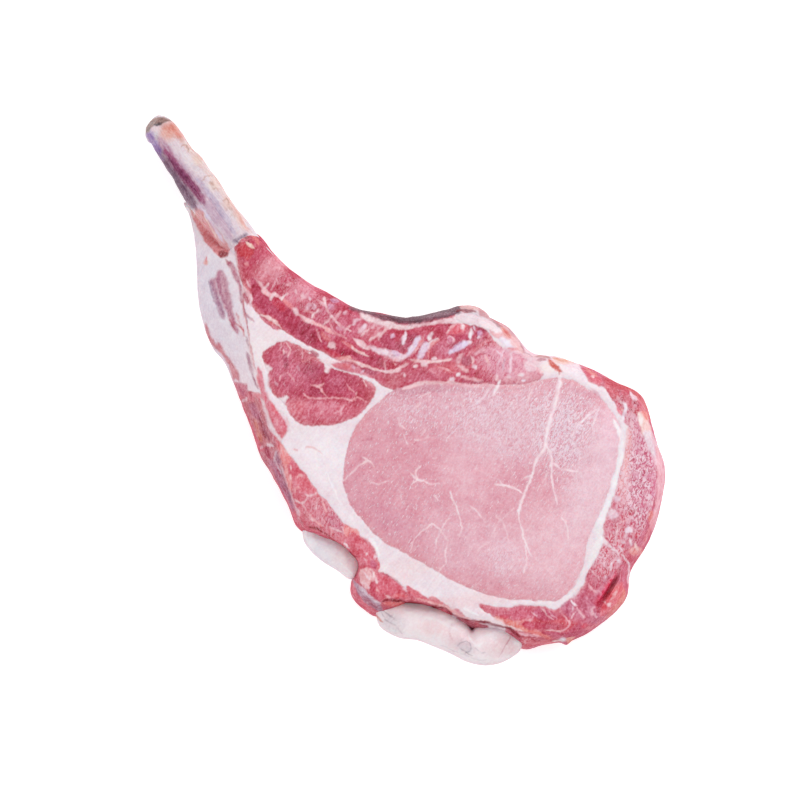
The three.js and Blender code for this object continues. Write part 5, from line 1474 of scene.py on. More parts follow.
# %% The rim
def rim_points(share):
    """Face and widest points of both edges at a share of the way from bone end to far corner."""
    stations = np.array(RIB_SIDE + CAP_SIDE + FAT_SIDE)
    corner, last = len(RIB_SIDE) + len(CAP_SIDE) - 1, len(stations)
    edges = corner * share, last - (last - corner) * share
    return [curve_at(table, at, True) for table in (stations[:, :2], stations[:, 2:]) for at in edges]


def pushed(points):
    """Points moved level by every push, which fades with exp(-d^2) of the distance over its reach."""
    x, y = points[:, 0].copy(), points[:, 1].copy()
    for at_x, at_y, by_x, by_y, reach in PUSHES:
        share = np.exp(-((x - at_x) ** 2 + (y - at_y) ** 2) / reach**2)
        points[:, 0] += by_x * share
        points[:, 1] += by_y * share
    return points


# %% The side
def side_rings(face, foot, opposite, height):
    """Rings of points from below the rim down to the base. Above the widest line the side is the
    quadratic curve (1 - s)^2 face + 2s(1 - s) shoulder + s^2 foot, below it a quarter round."""
    s = (np.arange(1, WALL_STEPS + 1) / WALL_STEPS)[:, None]
    flare = np.hypot(*(foot - face).T)
    hollow = ease((flare - HOLLOW_FLARE[0]) / (HOLLOW_FLARE[1] - HOLLOW_FLARE[0]))
    shoulder = [full + (low - full) * hollow for full, low in zip(FULL_SHOULDER, HOLLOW_SHOULDER)]
    out = 2 * s * (1 - s) * shoulder[0] + s * s
    rise = (1 - s) ** 2 + 2 * s * (1 - s) * shoulder[1]
    wall = face * (1 - out[..., None]) + foot * out[..., None]
    wall = np.dstack([wall, WIDEST_HEIGHT + (height - WIDEST_HEIGHT) * rise])

    angle = (np.arange(1, FOOT_STEPS + 1) / FOOT_STEPS * np.pi / 2)[:, None]
    inward = opposite - foot
    inset = UNDERSIDE_INSET * (1 - np.exp(-np.hypot(*inward.T) / NARROW_WIDTH)) * (1 - np.cos(angle))
    low = foot + unit(inward) * inset[..., None]
    low = np.dstack([low, WIDEST_HEIGHT * (1 - np.sin(angle)) * np.ones(len(foot))])
    return np.concatenate([wall, low])


def roughened(side, foot):
    """The side's rings moved along their outward direction by a noise, fading out at both ends."""
    along = unit(np.roll(foot, -1, axis=0) - np.roll(foot, 1, axis=0))
    outwards = np.stack([-along[:, 1], along[:, 0]], axis=1)
    level = np.arange(1, len(side) + 1)[:, None] / len(side)
    fade = np.sin(np.pi * level) ** SIDE_FADE
    u, v = (side[..., k] + shear * side[..., 2] for k, shear in enumerate(SIDE_SHEAR))
    side[..., :2] += outwards * (fade * layered(SIDE_UNEVEN, u, v, "side"))[..., None]
    return side


# %% The base
def base_sheet(points, ring):
    """Points and triangles of the flat base: the same lens with fewer rows, between the two halves
    of the last ring."""
    down, steps = np.arange(1, COLUMNS), np.arange(1, COLUMNS + 1)
    left, right = points[ring[down]], points[ring[2 * COLUMNS - down]]
    t = (np.arange(1, BASE_ROWS) / BASE_ROWS)[None, :, None]
    inner = left[:, None] * (1 - t) + right[:, None] * t
    grid = np.empty((COLUMNS + 1, BASE_ROWS + 1), int)
    grid[1:-1, 1:-1] = len(points) + np.arange(inner[..., 0].size).reshape(inner.shape[:2])
    grid[:-1, 0], grid[1:, -1] = ring[steps - 1], ring[2 * COLUMNS - steps]
    grid[0, :], grid[-1, :] = ring[0], ring[COLUMNS]
    triangles = quads_to_triangles(grid[:-1, :-1], grid[1:, :-1], grid[1:, 1:], grid[:-1, 1:])
    return inner.reshape(-1, 3), triangles


# %% The whole slice
def blank():
    """Points and triangles of the whole slice, in mm: face, side and base joined into one surface."""
    rib_face, fat_face, rib_foot, fat_foot = rim_points(np.arange(COLUMNS + 1) / COLUMNS)

    # The face: all columns by all rows, with one point at each pole.
    across = (np.arange(ROWS + 1) / ROWS)[None, :, None]
    plan = rib_face[:, None] * (1 - across) + fat_face[:, None] * across
    number = np.arange((COLUMNS + 1) * (ROWS + 1)).reshape(COLUMNS + 1, ROWS + 1)
    number[0], number[-1] = number[0, 0], number[-1, 0]
    x, y = plan[..., 0].ravel(), plan[..., 1].ravel()
    top = np.stack([x, y, face_height(x, y)], axis=1)
    face_sheet = quads_to_triangles(number[:-1, :-1], number[:-1, 1:], number[1:, 1:], number[1:, :-1])

    # The rim, once round: down the rib edge and back up the fat edge. Then the side below it.
    down, up = np.arange(COLUMNS), np.arange(COLUMNS, 0, -1)
    rim = np.concatenate([number[down, 0], number[up, ROWS]])
    face = np.concatenate([rib_face[down], fat_face[up]])
    foot = np.concatenate([rib_foot[down], fat_foot[up]])
    opposite = np.concatenate([fat_foot[down], rib_foot[up]])
    side = roughened(side_rings(face, foot, opposite, top[rim, 2]), foot)

    points = np.concatenate([top, side.reshape(-1, 3)])
    fine = relief(points[:, 0], points[:, 1])
    points[:, 2] += fine * ease((points[:, 2] - WIDEST_HEIGHT) / FADE_HEIGHT)
    rings = np.vstack([rim, len(top) + np.arange(side[..., 0].size).reshape(len(side), -1)])
    nexts = np.roll(rings, -1, axis=1)
    side_sheet = quads_to_triangles(rings[:-1], nexts[:-1], nexts[1:], rings[1:])

    inner, bottom_sheet = base_sheet(points, rings[-1])
    points = np.concatenate([points, inner])
    triangles = np.concatenate([face_sheet, side_sheet, bottom_sheet])
    return pushed(points), outward(points, triangles)


slice_object = mesh_object("slice", *compact(*blank()))
print("blank:", len(slice_object.data.vertices), "points,", len(slice_object.data.polygons), "triangles")

# %% [markdown]
# ## The rib
#
# A rib is a flat bone with a rounded, slightly squarish section. A bevelled curve would keep one
# section, so sections of their own size are carried along the bend. The sawn end leans back, so that
# it shows from above as a narrow crescent.

# %% The rib's sizes
RIB_STATIONS = [
    (-91.9, 97.0, 8.0, 6.2, 8.5), (-91.1, 96.4, 8.0, 9.1, 10.8), (-89.7, 95.2, 8.0, 11.1, 12.0),
    (-87.8, 93.6, 8.2, 10.8, 12.6), (-85.4, 90.3, 8.6, 11.3, 12.8), (-81.9, 84.7, 9.2, 11.7, 13.4),
    (-78.7, 80.8, 9.8, 12.8, 14.6), (-75.2, 75.3, 10.6, 13.6, 16.0), (-68.3, 65.3, 11.8, 13.4, 17.6),
    (-61.2, 56.0, 12.4, 13.3, 18.0), (-54.7, 48.1, 12.4, 12.6, 17.0), (-47.4, 39.9, 12.0, 12.0, 16.0),
    (-39.8, 34.2, 12.0, 12.0, 15.6), (-30.8, 29.2, 12.0, 11.8, 15.2), (-16.5, 23.6, 12.0, 11.6, 15.0),
    (0.5, 20.7, 12.0, 11.4, 15.0), (14.7, 23.1, 12.2, 11.4, 15.6), (24.0, 24.8, 12.8, 12.0, 18.0),
    (28.4, 21.6, 13.0, 10.6, 19.0), (35.0, 16.6, 12.6, 9.4, 15.0),
]
RIB_FULLNESS = 0.85
SAW_SLOPE, SAW_REACH = 0.26, 4       # lean of the sawn end, and over how many stations it fades
RIB_RINGS, RIB_ROUND = 400, 120
SAWN_END = (0.04, 0.15, 0.3, 0.45, 0.6, 0.72, 0.82, 0.9, 0.96)   # sizes of the rings that close it
HIDDEN_END = ((0.8, 1.5), (0.45, 2.6), (0.1, 2.9))   # scale of each ring, and how far on it lies, mm
TANGENT_STEP = 0.01                  # share of a station over which the bend's direction is taken
BONE_UNEVEN = ((5.0, 0.30), (1.8, 0.12))
BONE_FADE = 3                        # power of the scale by which unevenness fades at the ends


# %% The rib
def fuller(wave, power):
    """A sine or cosine raised to a power, with its sign kept: below 1 the section turns squarish."""
    return np.sign(wave) * np.abs(wave) ** power


def rib_sections(t, scale, push):
    """Rings of points: at each t a section of cos and sin raised to the fullness, set across the
    bend, leaning back near the sawn end."""
    stations = np.array(RIB_STATIONS)
    behind, place, ahead = (curve_at(stations[:, :3], np.clip(t + by, 0, len(stations) - 1), False)
                            for by in (-TANGENT_STEP, 0, TANGENT_STEP))
    size = curve_at(stations[:, 3:], t, False)
    along = unit((ahead - behind)[:, :2])
    angle = np.arange(RIB_ROUND) / RIB_ROUND * 2 * np.pi
    out = fuller(np.cos(angle), RIB_FULLNESS) * (size[:, 0] / 2 * scale)[:, None]
    rise = fuller(np.sin(angle), RIB_FULLNESS) * (size[:, 1] / 2 * scale)[:, None]
    lean = (SAW_SLOPE * np.clip(1 - t / SAW_REACH, 0, None))[:, None] * rise + push[:, None]
    x = place[:, :1] - along[:, 1:] * out + along[:, :1] * lean
    y = place[:, 1:2] + along[:, :1] * out + along[:, 1:] * lean
    return np.dstack([x, y, place[:, 2:] + rise])


def loft(rings):
    """Points and triangles of a closed surface through rings, each end closed to its middle."""
    count, around = rings.shape[:2]
    points = np.concatenate([rings.reshape(-1, 3), rings[:1].mean(1), rings[-1:].mean(1)])
    number = np.arange(count * around).reshape(count, around)
    nexts = np.roll(number, -1, axis=1)
    body = quads_to_triangles(number[:-1], nexts[:-1], nexts[1:], number[1:])
    hubs = [np.full(around, count * around + k) for k in (0, 1)]
    first = np.stack([nexts[0], number[0], hubs[0]], 1)
    final = np.stack([number[-1], nexts[-1], hubs[1]], 1)
    triangles = np.concatenate([body, first, final])
    return points, outward(points, triangles)


def rib_rings():
    """The rings of the sawn end, of the length and of the hidden end, each point moved away from its
    ring's middle by a noise."""
    last = len(RIB_STATIONS) - 1
    end_scales, end_pushes = np.transpose(HIDDEN_END)
    t = np.concatenate([np.zeros(len(SAWN_END)), np.linspace(0, last, RIB_RINGS),
                        np.full(len(HIDDEN_END), last)])
    scale = np.concatenate([SAWN_END, np.ones(RIB_RINGS), end_scales])
    push = np.concatenate([np.zeros(len(SAWN_END) + RIB_RINGS), end_pushes])
    rings = rib_sections(t, scale, push)
    outwards = unit(rings - rings.mean(1, keepdims=True))
    bump = layered(BONE_UNEVEN, rings[..., 0] + rings[..., 2], rings[..., 1] - rings[..., 2], "bone")
    return rings + outwards * (bump * scale[:, None] ** BONE_FADE)[..., None]


rib_object = mesh_object("rib_bone_skin", *loft(rib_rings()))
print("rib:", len(rib_object.data.polygons), "triangles")

# %% [markdown]
# ## The lobes of soft fat
#
# Two soft lobes of fat bulge out from under the slice. They could be sculpted, but a pillow is simple
# to work out: elliptical sections between an inner and an outer edge that meet at both ends.

# %% The lobes' sizes
LOBES = {
    "fat_lobe_upper": (10.0, 8.5, [
        (-36.9, -51.6), (-34.4, -50.2), (-29.3, -52.2), (-23.8, -55.3), (-18.7, -59.3),
        (-15.8, -62.2), (-15.5, -65.5),
    ], [
        (-36.9, -51.6), (-36.2, -55.3), (-33.6, -58.9), (-29.5, -62.5), (-24.2, -65.8),
        (-19.1, -69.0), (-15.5, -65.5),
    ]),
    "fat_lobe_lower": (9.5, 8.8, [
        (-10.4, -80.7), (-7.1, -77.5), (0.2, -77.8), (7.5, -78.9), (14.4, -80.7), (19.8, -84.0),
        (22.7, -87.3), (24.9, -89.8), (27.8, -87.6), (33.3, -86.5), (39.1, -87.6),
        (42.7, -89.8), (43.5, -92.0),
    ], [
        (-10.4, -80.7), (-8.4, -86.4), (-1.9, -90.2), (4.9, -91.2), (10.7, -93.4),
        (16.9, -96.0), (22.7, -98.9), (28.5, -100.3), (34.0, -99.9), (38.9, -97.8),
        (42.3, -95.1), (43.5, -92.0),
    ]),
}
LOBE_STEPS, LOBE_ROUND = 240, 120
LOBE_END_GAP = 0.03            # radians by which the first and last ring stay off the ends
LOBE_END_POWER = 3
LOBE_FULLNESS = 0.7            # below 1 the pillow is flatter on top and steeper at its edges
LOBE_TUCK = 2.6                # how far a lobe is tucked in under the slice, mm
LOBE_UNEVEN = ((5.0, 0.35), (1.7, 0.08))


# %% The lobes
def lobe(middle_height, half_depth, inner_edge, outer_edge):
    """Rings from edge to edge: cos runs across, sin to the power of the fullness up, and the depth
    falls as the square root of 1 - |2t - 1|^3 towards the ends."""
    t = (1 - np.cos(np.linspace(LOBE_END_GAP, np.pi - LOBE_END_GAP, LOBE_STEPS))) / 2
    a = curve_at(inner_edge, t * (len(inner_edge) - 1), False)[:, None]
    b = curve_at(outer_edge, t * (len(outer_edge) - 1), False)[:, None]
    full = np.sqrt(1 - np.abs(2 * t - 1) ** LOBE_END_POWER)
    a = a + unit(a - b) * (LOBE_TUCK * full)[:, None, None]
    angle = np.arange(LOBE_ROUND) / LOBE_ROUND * 2 * np.pi
    plan = a + (b - a) * (0.5 + 0.5 * np.cos(angle))[None, :, None]
    height = middle_height + (half_depth * full)[:, None] * fuller(np.sin(angle), LOBE_FULLNESS)
    rings = np.dstack([plan, height])

    # Slow unevenness all round, and the marks' relief on the upper half.
    bump = layered(LOBE_UNEVEN, rings[..., 0] + rings[..., 2], rings[..., 1] - rings[..., 2], "lobe")
    rings[..., 2] += bump * np.abs(np.sin(angle))
    u, v = wander(rings[..., 0].ravel(), rings[..., 1].ravel())
    fine = bumps(u, v) + heights_of(LOBE_MARKS, u, v)
    rings[..., 2] += fine.reshape(height.shape) * np.clip(np.sin(angle), 0, 1)
    return loft(rings)


pieces = {name: mesh_object(name + "_whole", *lobe(*shape)) for name, shape in LOBES.items()}
print("lobes:", {name: len(piece.data.polygons) for name, piece in pieces.items()})

# %% [markdown]
# ## Cutting the blank
#
# Two walls made apart never fit as well as one cut, so the muscles are upright prisms of the slice,
# as in the solids. The Boolean modifier's Manifold solver cuts dense closed meshes in a second or two
# and leaves them closed. Each muscle shares its cut wall with the fat, so no gap shows between them.

# %% Cutting tools
CUT_WANDER = ((3.0, 0.22), (1.1, 0.10))
PRISM_HEIGHTS = (-20.0, 60.0)


def prism(name, line):
    """Upright closed prism of an outline, whose edge wanders a little from side to side."""
    along = unit(np.roll(line, -1, axis=0) - np.roll(line, 1, axis=0))
    shift = layered(CUT_WANDER, *line.T, "cut", 1)
    line = line + np.stack([along[:, 1], -along[:, 0]], axis=1) * shift[:, None]
    count = len(line)
    points = np.vstack([np.column_stack([line, np.full(count, z)]) for z in PRISM_HEIGHTS])
    around = np.arange(count)
    ahead = (around + 1) % count
    sides = np.stack([around, ahead, ahead + count, around + count], axis=1).tolist()
    mesh = bpy.data.meshes.new(name)
    mesh.from_pydata((points * MM).tolist(), [], sides + [around[::-1].tolist(), (around + count).tolist()])
    signed = (line[:, 0] * np.roll(line[:, 1], -1) - line[:, 1] * np.roll(line[:, 0], -1)).sum()
    if signed < 0:
        mesh.flip_normals()
    return new_object(name, mesh)


def cut(target, tool, operation, name):
    """A new object: the target cut by the tool with the Boolean modifier."""
    made = new_object(name, target.data.copy())
    modifier = made.modifiers.new("cut", "BOOLEAN")
    modifier.operation, modifier.solver, modifier.object = operation, "MANIFOLD", tool
    graph = bpy.context.evaluated_depsgraph_get()
    mesh = bpy.data.meshes.new_from_object(made.evaluated_get(graph))
    made.modifiers.clear()
    made.data = mesh
    return made


def keep_largest(piece):
    """Drops the scraps that a cut leaves: each point takes the lowest number it can reach along
    the edges, and the number that most points share is kept."""
    mesh = piece.data
    edges = np.empty(len(mesh.edges) * 2, np.int32)
    mesh.edges.foreach_get("vertices", edges)
    a, b = edges[::2], edges[1::2]
    label, before = np.arange(len(mesh.vertices)), None
    while before is None or (label != before).any():
        before, label = label, label.copy()
        low = np.minimum(before[a], before[b])
        np.minimum.at(label, a, low)
        np.minimum.at(label, b, low)
        label = label[label]
    keep = label == np.bincount(label).argmax()
    points, triangles = arrays_of(mesh)
    name = piece.name
    bpy.data.objects.remove(piece)
    return mesh_object(name, *compact(points, triangles[keep[triangles].all(axis=1)])), (~keep).sum()


# %% The cuts
for name in LOBES:
    whole = pieces[name]
    pieces[name] = cut(whole, slice_object, "DIFFERENCE", name + "_soft")
    bpy.data.objects.remove(whole)
rest = cut(slice_object, rib_object, "DIFFERENCE", "rest")
bpy.data.objects.remove(slice_object)
for name, line in outlines.items():
    tool = prism(name + "_prism", line)
    pieces[name] = cut(rest, tool, "INTERSECT", name + "_meat")
    less = cut(rest, tool, "DIFFERENCE", "rest")
    bpy.data.objects.remove(rest)
    bpy.data.objects.remove(tool)
    rest = less
rest.name = "seam_fat_body"
pieces["seam_fat"] = rest
pieces["rib_bone"] = rib_object
for name, piece in list(pieces.items()):
    kept, dropped = keep_largest(piece)
    pieces[name] = kept
    print(name, len(kept.data.polygons), "triangles,", dropped, "points dropped")

# %% [markdown]
# ## Painting by place
#
# An image could hold the tints, but it needs an unwrapped mesh. So each point of a piece is tinted by
# what lies at its place in plan, because a cut through the meat shows the same tissues above and
# below. Four values go to the shader with each point: its tint, how lean it is, how much painted
# sheen lies on it, the silvery glare of a wet film, and how much it belongs to the side. On the side
# the tint is darkened as painted shade.

# %% Tissue by place
GROUND_TINTS = {
    "fat": "#efe0e7",
    "loin_eye": "#e09fae",
    "side_muscle": "#bb3f59",
    "cap_muscle": "#cd687f",
    "flank_muscle": "#d56b7c",
    "rib_muscle": "#c2445e",
}
RIM_TINT = "#e99fa4"           # lean turns lighter and warmer where it meets fat
RIM_REACH, RIM_STRENGTH = 1.6, 0.45
WALL_SHADE_TONE = np.array([0.92, 0.84, 0.87])   # painted shade: the outside, drier than the cut, is painted deeper in tone against the glowing floor's light
SHEEN_FILM_PLACES = {                # middle, radii, turn and strength of each area of painted sheen, the wet lean's silvery glare
    "eye_upper": ((58.0, -15.0), (30.0, 18.0), -25, 1.0),
    "eye_edge": ((70.0, -30.0), (14.0, 28.0), -15, 1.0),
    "eye_middle": ((34.0, -12.0), (28.0, 15.0), -20, 0.9),
    "eye_left": ((6.0, -7.0), (20.0, 9.0), -10, 0.5),
    "eye_low": ((37.0, -61.0), (10.0, 8.0), -10, 1.0),
    "eye_corner": ((56.0, -58.0), (12.0, 20.0), -20, 0.55),
    "cap": ((84.0, -30.0), (12.0, 32.0), 8, 1.0),
    "cap_low": ((75.0, -58.0), (8.0, 14.0), -25, 0.7),
    "rib_low": ((12.0, 12.0), (30.0, 9.0), 0, 0.25),
    "rib_high": ((-38.0, 36.0), (22.0, 7.0), -40, 0.5),
    "shoulder": ((38.0, 10.0), (18.0, 11.0), -20, 0.9),
    "side_dark": ((-40.0, 8.0), (10.0, 9.0), 0, 0.3),
    "flank_mid": ((-28.0, -46.0), (8.0, 12.0), 40, 0.4),
}
SHEEN_FILM_END = 1.25                # an area of painted sheen ends where it is this many times its radii out


def sheen_film_at(x, y):
    """The strongest painted sheen at each place: an ellipse that fades evenly from its middle."""
    film_sheen = np.zeros(len(x))
    for middle, radii, turn, strength in SHEEN_FILM_PLACES.values():
        film_sheen = np.maximum(film_sheen, strength * ease(SHEEN_FILM_END - in_ellipse(x, y, middle, radii, turn)))
    return film_sheen


def meat_ground(x, y):
    """Tint and lean share before any mark: the tissues' tints by their shares, lighter and warmer in
    the lean close to its edge."""
    shares = shares_at(x, y)
    tint = sum(shares[name][:, None] * linear(code) for name, code in GROUND_TINTS.items())
    for name, depths in depth_maps.items():
        rim = RIM_STRENGTH * np.exp(-np.clip(read_map(depths, x, y), 0, None) / RIM_REACH)
        tint += (shares[name] * rim)[:, None] * (linear(RIM_TINT) - tint)
    return tint, shares, 1 - shares["fat"]


# %% Painting the pieces
BONE_TINT = "#dccbd3"
LOBE_TINT = "#f6e9ed"
MARKS_OF = {"rib_bone": BONE_MARKS, "fat_lobe_upper": LOBE_MARKS, "fat_lobe_lower": LOBE_MARKS}
SIDE_STEEPNESS = (0.75, 0.25)  # upward part of the direction where the side begins, and is complete


def ground_of(name, x, y):
    """Tint, shares of the tissues and lean share of a piece before any mark."""
    if name not in MARKS_OF:
        return meat_ground(x, y)
    tint = np.tile(linear(BONE_TINT if name == "rib_bone" else LOBE_TINT), (len(x), 1))
    return tint, {"all": np.ones(len(x))}, np.zeros(len(x))


def side_share(mesh):
    """How much each point belongs to the side, by how little its direction points up or down."""
    upright = np.empty(len(mesh.vertices) * 3, np.float32)
    mesh.vertices.foreach_get("normal", upright)
    begin, full = SIDE_STEEPNESS
    return ease((begin - np.abs(upright[2::3])) / (begin - full))


def paint(piece, name):
    """Works out the tint, lean and painted sheen of every point and stores them as attributes. Each mark in
    turn hides its share of the tint under it."""
    mesh = piece.data
    points = arrays_of(mesh)[0]
    x, y = wander(points[:, 0], points[:, 1])
    tint, shares, lean = ground_of(name, x, y)
    # Painted sheen: the silvery glare of the wet lean, by place.
    film_sheen = sheen_film_at(x, y)
    for cover, tissue, marks in MARKS_OF.get(name, MEAT_MARKS):
        for mark in marks:
            some, share, _ = cover(mark, x, y)
            share = share * shares[tissue][some]
            tint[some] += share[:, None] * (linear(mark[0]) - tint[some])
            lean[some] += share * (leanness(mark[0]) - lean[some])
    side = side_share(mesh) * (name != "rib_bone")
    # Painted shade: the side's tint is darkened by the wall tone.
    tint *= 1 - side[:, None] * (1 - WALL_SHADE_TONE)
    rgba = np.column_stack([tint, np.ones(len(tint))]).astype(np.float32)
    mesh.color_attributes.new("tint", "FLOAT_COLOR", "POINT").data.foreach_set("color", rgba.ravel())
    # The third attribute holds the painted sheen, kept off the side and scaled by the lean share.
    for key, values in (("lean", lean), ("film_sheen", film_sheen * (1 - side) * lean), ("side", side)):
        mesh.attributes.new(key, "FLOAT", "POINT").data.foreach_set("value", values.astype(np.float32))


for name, piece in pieces.items():
    paint(piece, name)
print("painted:", ", ".join(pieces))

# %% [markdown]
# ## Finishes
#
# Muscle, fat and bone are all damp and slightly clear, so light goes a little way in and comes out
# tinted red. What differs is the grain: muscle shows cut fibre ends and tiny flecks of fat, fat is
# smooth and waxy, and bone wears a thin wet skin. The glare of the wet lean is painted: a silvery
# sheen and small glints laid into the colour. Noise nodes keep the grain sharp where an image would
# blur, and one function with different sizes makes all five.

# %% Small node steps
LOW_NOISE, HIGH_NOISE = 0.3, 0.7     # a noise stays between these nearly everywhere


def grain_place(tree, place, length, width, turn):
    """Object places in units of the grain: longer along a direction, in mm and degrees."""
    return add(tree, "ShaderNodeMapping", {"Vector": place, "Rotation": (0, 0, np.radians(turn)),
               "Scale": (length * MM, width * MM, width * MM)}, vector_type="TEXTURE").outputs[0]


def noise_value(tree, place, scale=1.0, **inputs):
    """A noise's value at the place. Inputs are its further sockets, by name."""
    named = {"Vector": place, "Scale": scale, **{key.title(): value for key, value in inputs.items()}}
    return add(tree, "ShaderNodeTexNoise", named).outputs["Fac"]


def spread(tree, value, low, high, first, last):
    """The value's way from low to high, turned evenly into first to last."""
    return add(tree, "ShaderNodeMapRange", {"Value": value, "From Min": low, "From Max": high,
               "To Min": first, "To Max": last}).outputs[0]


def arithmetic(tree, operation, *values):
    """One step of arithmetic with values or other nodes' outputs."""
    return add(tree, "ShaderNodeMath", dict(enumerate(values)), operation=operation).outputs[0]


def laid_over(tree, share, under, code):
    """The colour of a hex code laid over another by a share."""
    return add(tree, "ShaderNodeMix", {"Factor": share, "A": under, "B": (*linear(code), 1)},
               data_type="RGBA").outputs["Result"]


# %% The layers of a damp tissue
SLOW_SIZE, FINE_SIZE = 4.0, 0.8      # mm of the two noises that mottle the tint
SHEEN_GLINT_LIFT, FLECK_RISE = 0.12, 0.07  # how far the painted sheen lifts the fleck noise into painted glints, and a fleck's soft rim
CRACK = (0.02, 0.1)                  # how near its middle value the sheen film's noise leaves a crack
SHEEN_FILM_GAPS = (0.25, 0.5)              # slow noise below which the painted sheen is gone, and above which full
SHEEN_FILM_BUMP, FLECK_BUMP = 0.3, 0.5     # how high the sheen film and the flecks stand, against the grain's 1


def mottled(tree, place, tint, slow, mottle, bundles):
    """The tint raised to the product of three swings round one: a slow noise, a fine one and the
    fibre bundles. As an exponent it makes a darker place redder too."""
    length, width, turn, by = bundles
    fine = noise_value(tree, place, 1 / (FINE_SIZE * MM), detail=2.0)
    strand = noise_value(tree, grain_place(tree, place, length, width, turn), detail=3.0)
    swings = [spread(tree, value, LOW_NOISE, HIGH_NOISE, 1 - most, 1 + most)
              for value, most in ((slow, mottle), (fine, mottle), (strand, by))]
    both = arithmetic(tree, "MULTIPLY", arithmetic(tree, "MULTIPLY", swings[0], swings[1]), swings[2])
    return add(tree, "ShaderNodeGamma", {"Color": tint, "Gamma": both}).outputs[0]


def pale_flecks_and_glints(tree, place, lean, sheen_share, flecks_and_glints):
    """Share of the pale flecks between the fibres, partly fat and partly painted glints: the peaks of a
    stretched noise above the least value that shows, more of them where the painted sheen is, and only
    in the lean."""
    length, width, turn, least, share, _ = flecks_and_glints
    peaks = noise_value(tree, grain_place(tree, place, length, width, turn),
                        detail=2.0, roughness=0.6, distortion=0.4)
    lifted = arithmetic(tree, "MULTIPLY_ADD", sheen_share, SHEEN_GLINT_LIFT, peaks)
    return arithmetic(tree, "MULTIPLY", spread(tree, lifted, least, least + FLECK_RISE, 0.0, share), lean)


def painted_sheen_film(tree, place, slow, sheen_share, film_sheen):
    """Share of the painted sheen, the silvery glare of a wet film: it covers the lean but for fine cracks,
    where a noise crosses its middle value, and but for gaps where the slow noise is low."""
    size, stretch, turn, cover, _ = film_sheen
    worms = noise_value(tree, grain_place(tree, place, size * stretch, size, turn),
                        detail=1.5, roughness=0.5, distortion=0.8)
    apart = arithmetic(tree, "ABSOLUTE", arithmetic(tree, "SUBTRACT", worms, 0.5))
    whole = spread(tree, apart, *CRACK, 0.0, cover)
    broken = arithmetic(tree, "MULTIPLY", whole, spread(tree, slow, *SHEEN_FILM_GAPS, 0.0, 1.0))
    return arithmetic(tree, "MULTIPLY", broken, sheen_share)


# %% A damp tissue
DRY_SHARE = 0.15                     # how much of its wet coat the outside keeps


def flesh(name, mottle, bundles, flecks_and_glints, film_sheen, rough, clear, wet, bump_mm, grain_mm):
    """One damp tissue. mottle: how far the tint swings. bundles: length, width, turn and swing of the
    fibre bundles. Then the pale flecks, partly painted glints: length, width, turn, least noise, share
    and colour. Then the painted sheen of the wet film: size, stretch, turn, cover and colour. rough:
    lowest and highest roughness. clear: share of light that goes in. wet: weight of the coat. bump_mm,
    grain_mm: height, size of grain."""
    material, tree = new_material(name)
    place = add(tree, "ShaderNodeTexCoord", {}).outputs["Object"]
    tint = add(tree, "ShaderNodeAttribute", {}, attribute_name="tint").outputs["Color"]
    lean, sheen_share, outside = (add(tree, "ShaderNodeAttribute", {}, attribute_name=key).outputs["Fac"]
                              for key in ("lean", "film_sheen", "side"))
    slow = noise_value(tree, place, 1 / (SLOW_SIZE * MM), detail=3.0)
    # Pale flecks, partly fat and partly painted glints.
    fleck_and_glint = pale_flecks_and_glints(tree, place, lean, sheen_share, flecks_and_glints)
    # Painted sheen: the silvery glare of the wet film.
    painted_sheen = painted_sheen_film(tree, place, slow, sheen_share, film_sheen)
    marbled = laid_over(tree, fleck_and_glint, mottled(tree, place, tint, slow, mottle, bundles), flecks_and_glints[-1])

    # Fine bumps of the cut fibre ends, and a roughness that follows the slow noise.
    grain = noise_value(tree, place, 1 / (grain_mm * MM), detail=3.0, roughness=0.6)
    raised = arithmetic(tree, "MULTIPLY_ADD", painted_sheen, SHEEN_FILM_BUMP, grain)
    raised = arithmetic(tree, "MULTIPLY_ADD", fleck_and_glint, FLECK_BUMP, raised)
    bump = add(tree, "ShaderNodeBump", {"Height": raised, "Distance": bump_mm * MM, "Strength": 1.0})
    # Painted sheen: the wet film's glare is laid into the base colour.
    shader = add(tree, "ShaderNodeBsdfPrincipled", {
        "Base Color": laid_over(tree, painted_sheen, marbled, film_sheen[-1]),
        "Roughness": spread(tree, slow, LOW_NOISE, HIGH_NOISE, *rough), "Subsurface Weight": clear,
        "Subsurface Radius": (1.0, 0.35, 0.25), "Subsurface Scale": 0.8 * MM, "IOR": 1.4,
        "Specular IOR Level": 0.0, "Coat Weight": spread(tree, outside, 0.0, 1.0, wet, wet * DRY_SHARE),
        "Coat Roughness": 0.2, "Coat IOR": 1.4, "Normal": bump.outputs[0],
        "Coat Normal": bump.outputs[0]})
    add(tree, "ShaderNodeOutputMaterial", {"Surface": shader.outputs["BSDF"]})
    return material


# %% The five finishes
# Pale loin: fine grain, many tiny flecks, and a painted sheen of a wet film over its upper half.
pale_loin = flesh("pale_pork_loin", mottle=0.14, bundles=(3.0, 0.8, 60, 0.12),
                  flecks_and_glints=(1.4, 0.42, 58, 0.6, 0.75, "#f9e6ee"), film_sheen=(1.0, 2.1, 58, 0.8, "#f1dce8"),
                  rough=(0.38, 0.5), clear=0.15, wet=0.8, bump_mm=0.16, grain_mm=0.6)
# Dark lean of the rib and the small muscle: deeper red, with coarser bundles.
dark_lean = flesh("dark_rib_lean", mottle=0.22, bundles=(2.6, 0.9, 58, 0.26),
                  flecks_and_glints=(1.8, 0.5, 58, 0.64, 0.4, "#f2c8d4"), film_sheen=(1.0, 2.0, 62, 0.6, "#f0c0ce"),
                  rough=(0.34, 0.48), clear=0.15, wet=0.8, bump_mm=0.2, grain_mm=0.7)
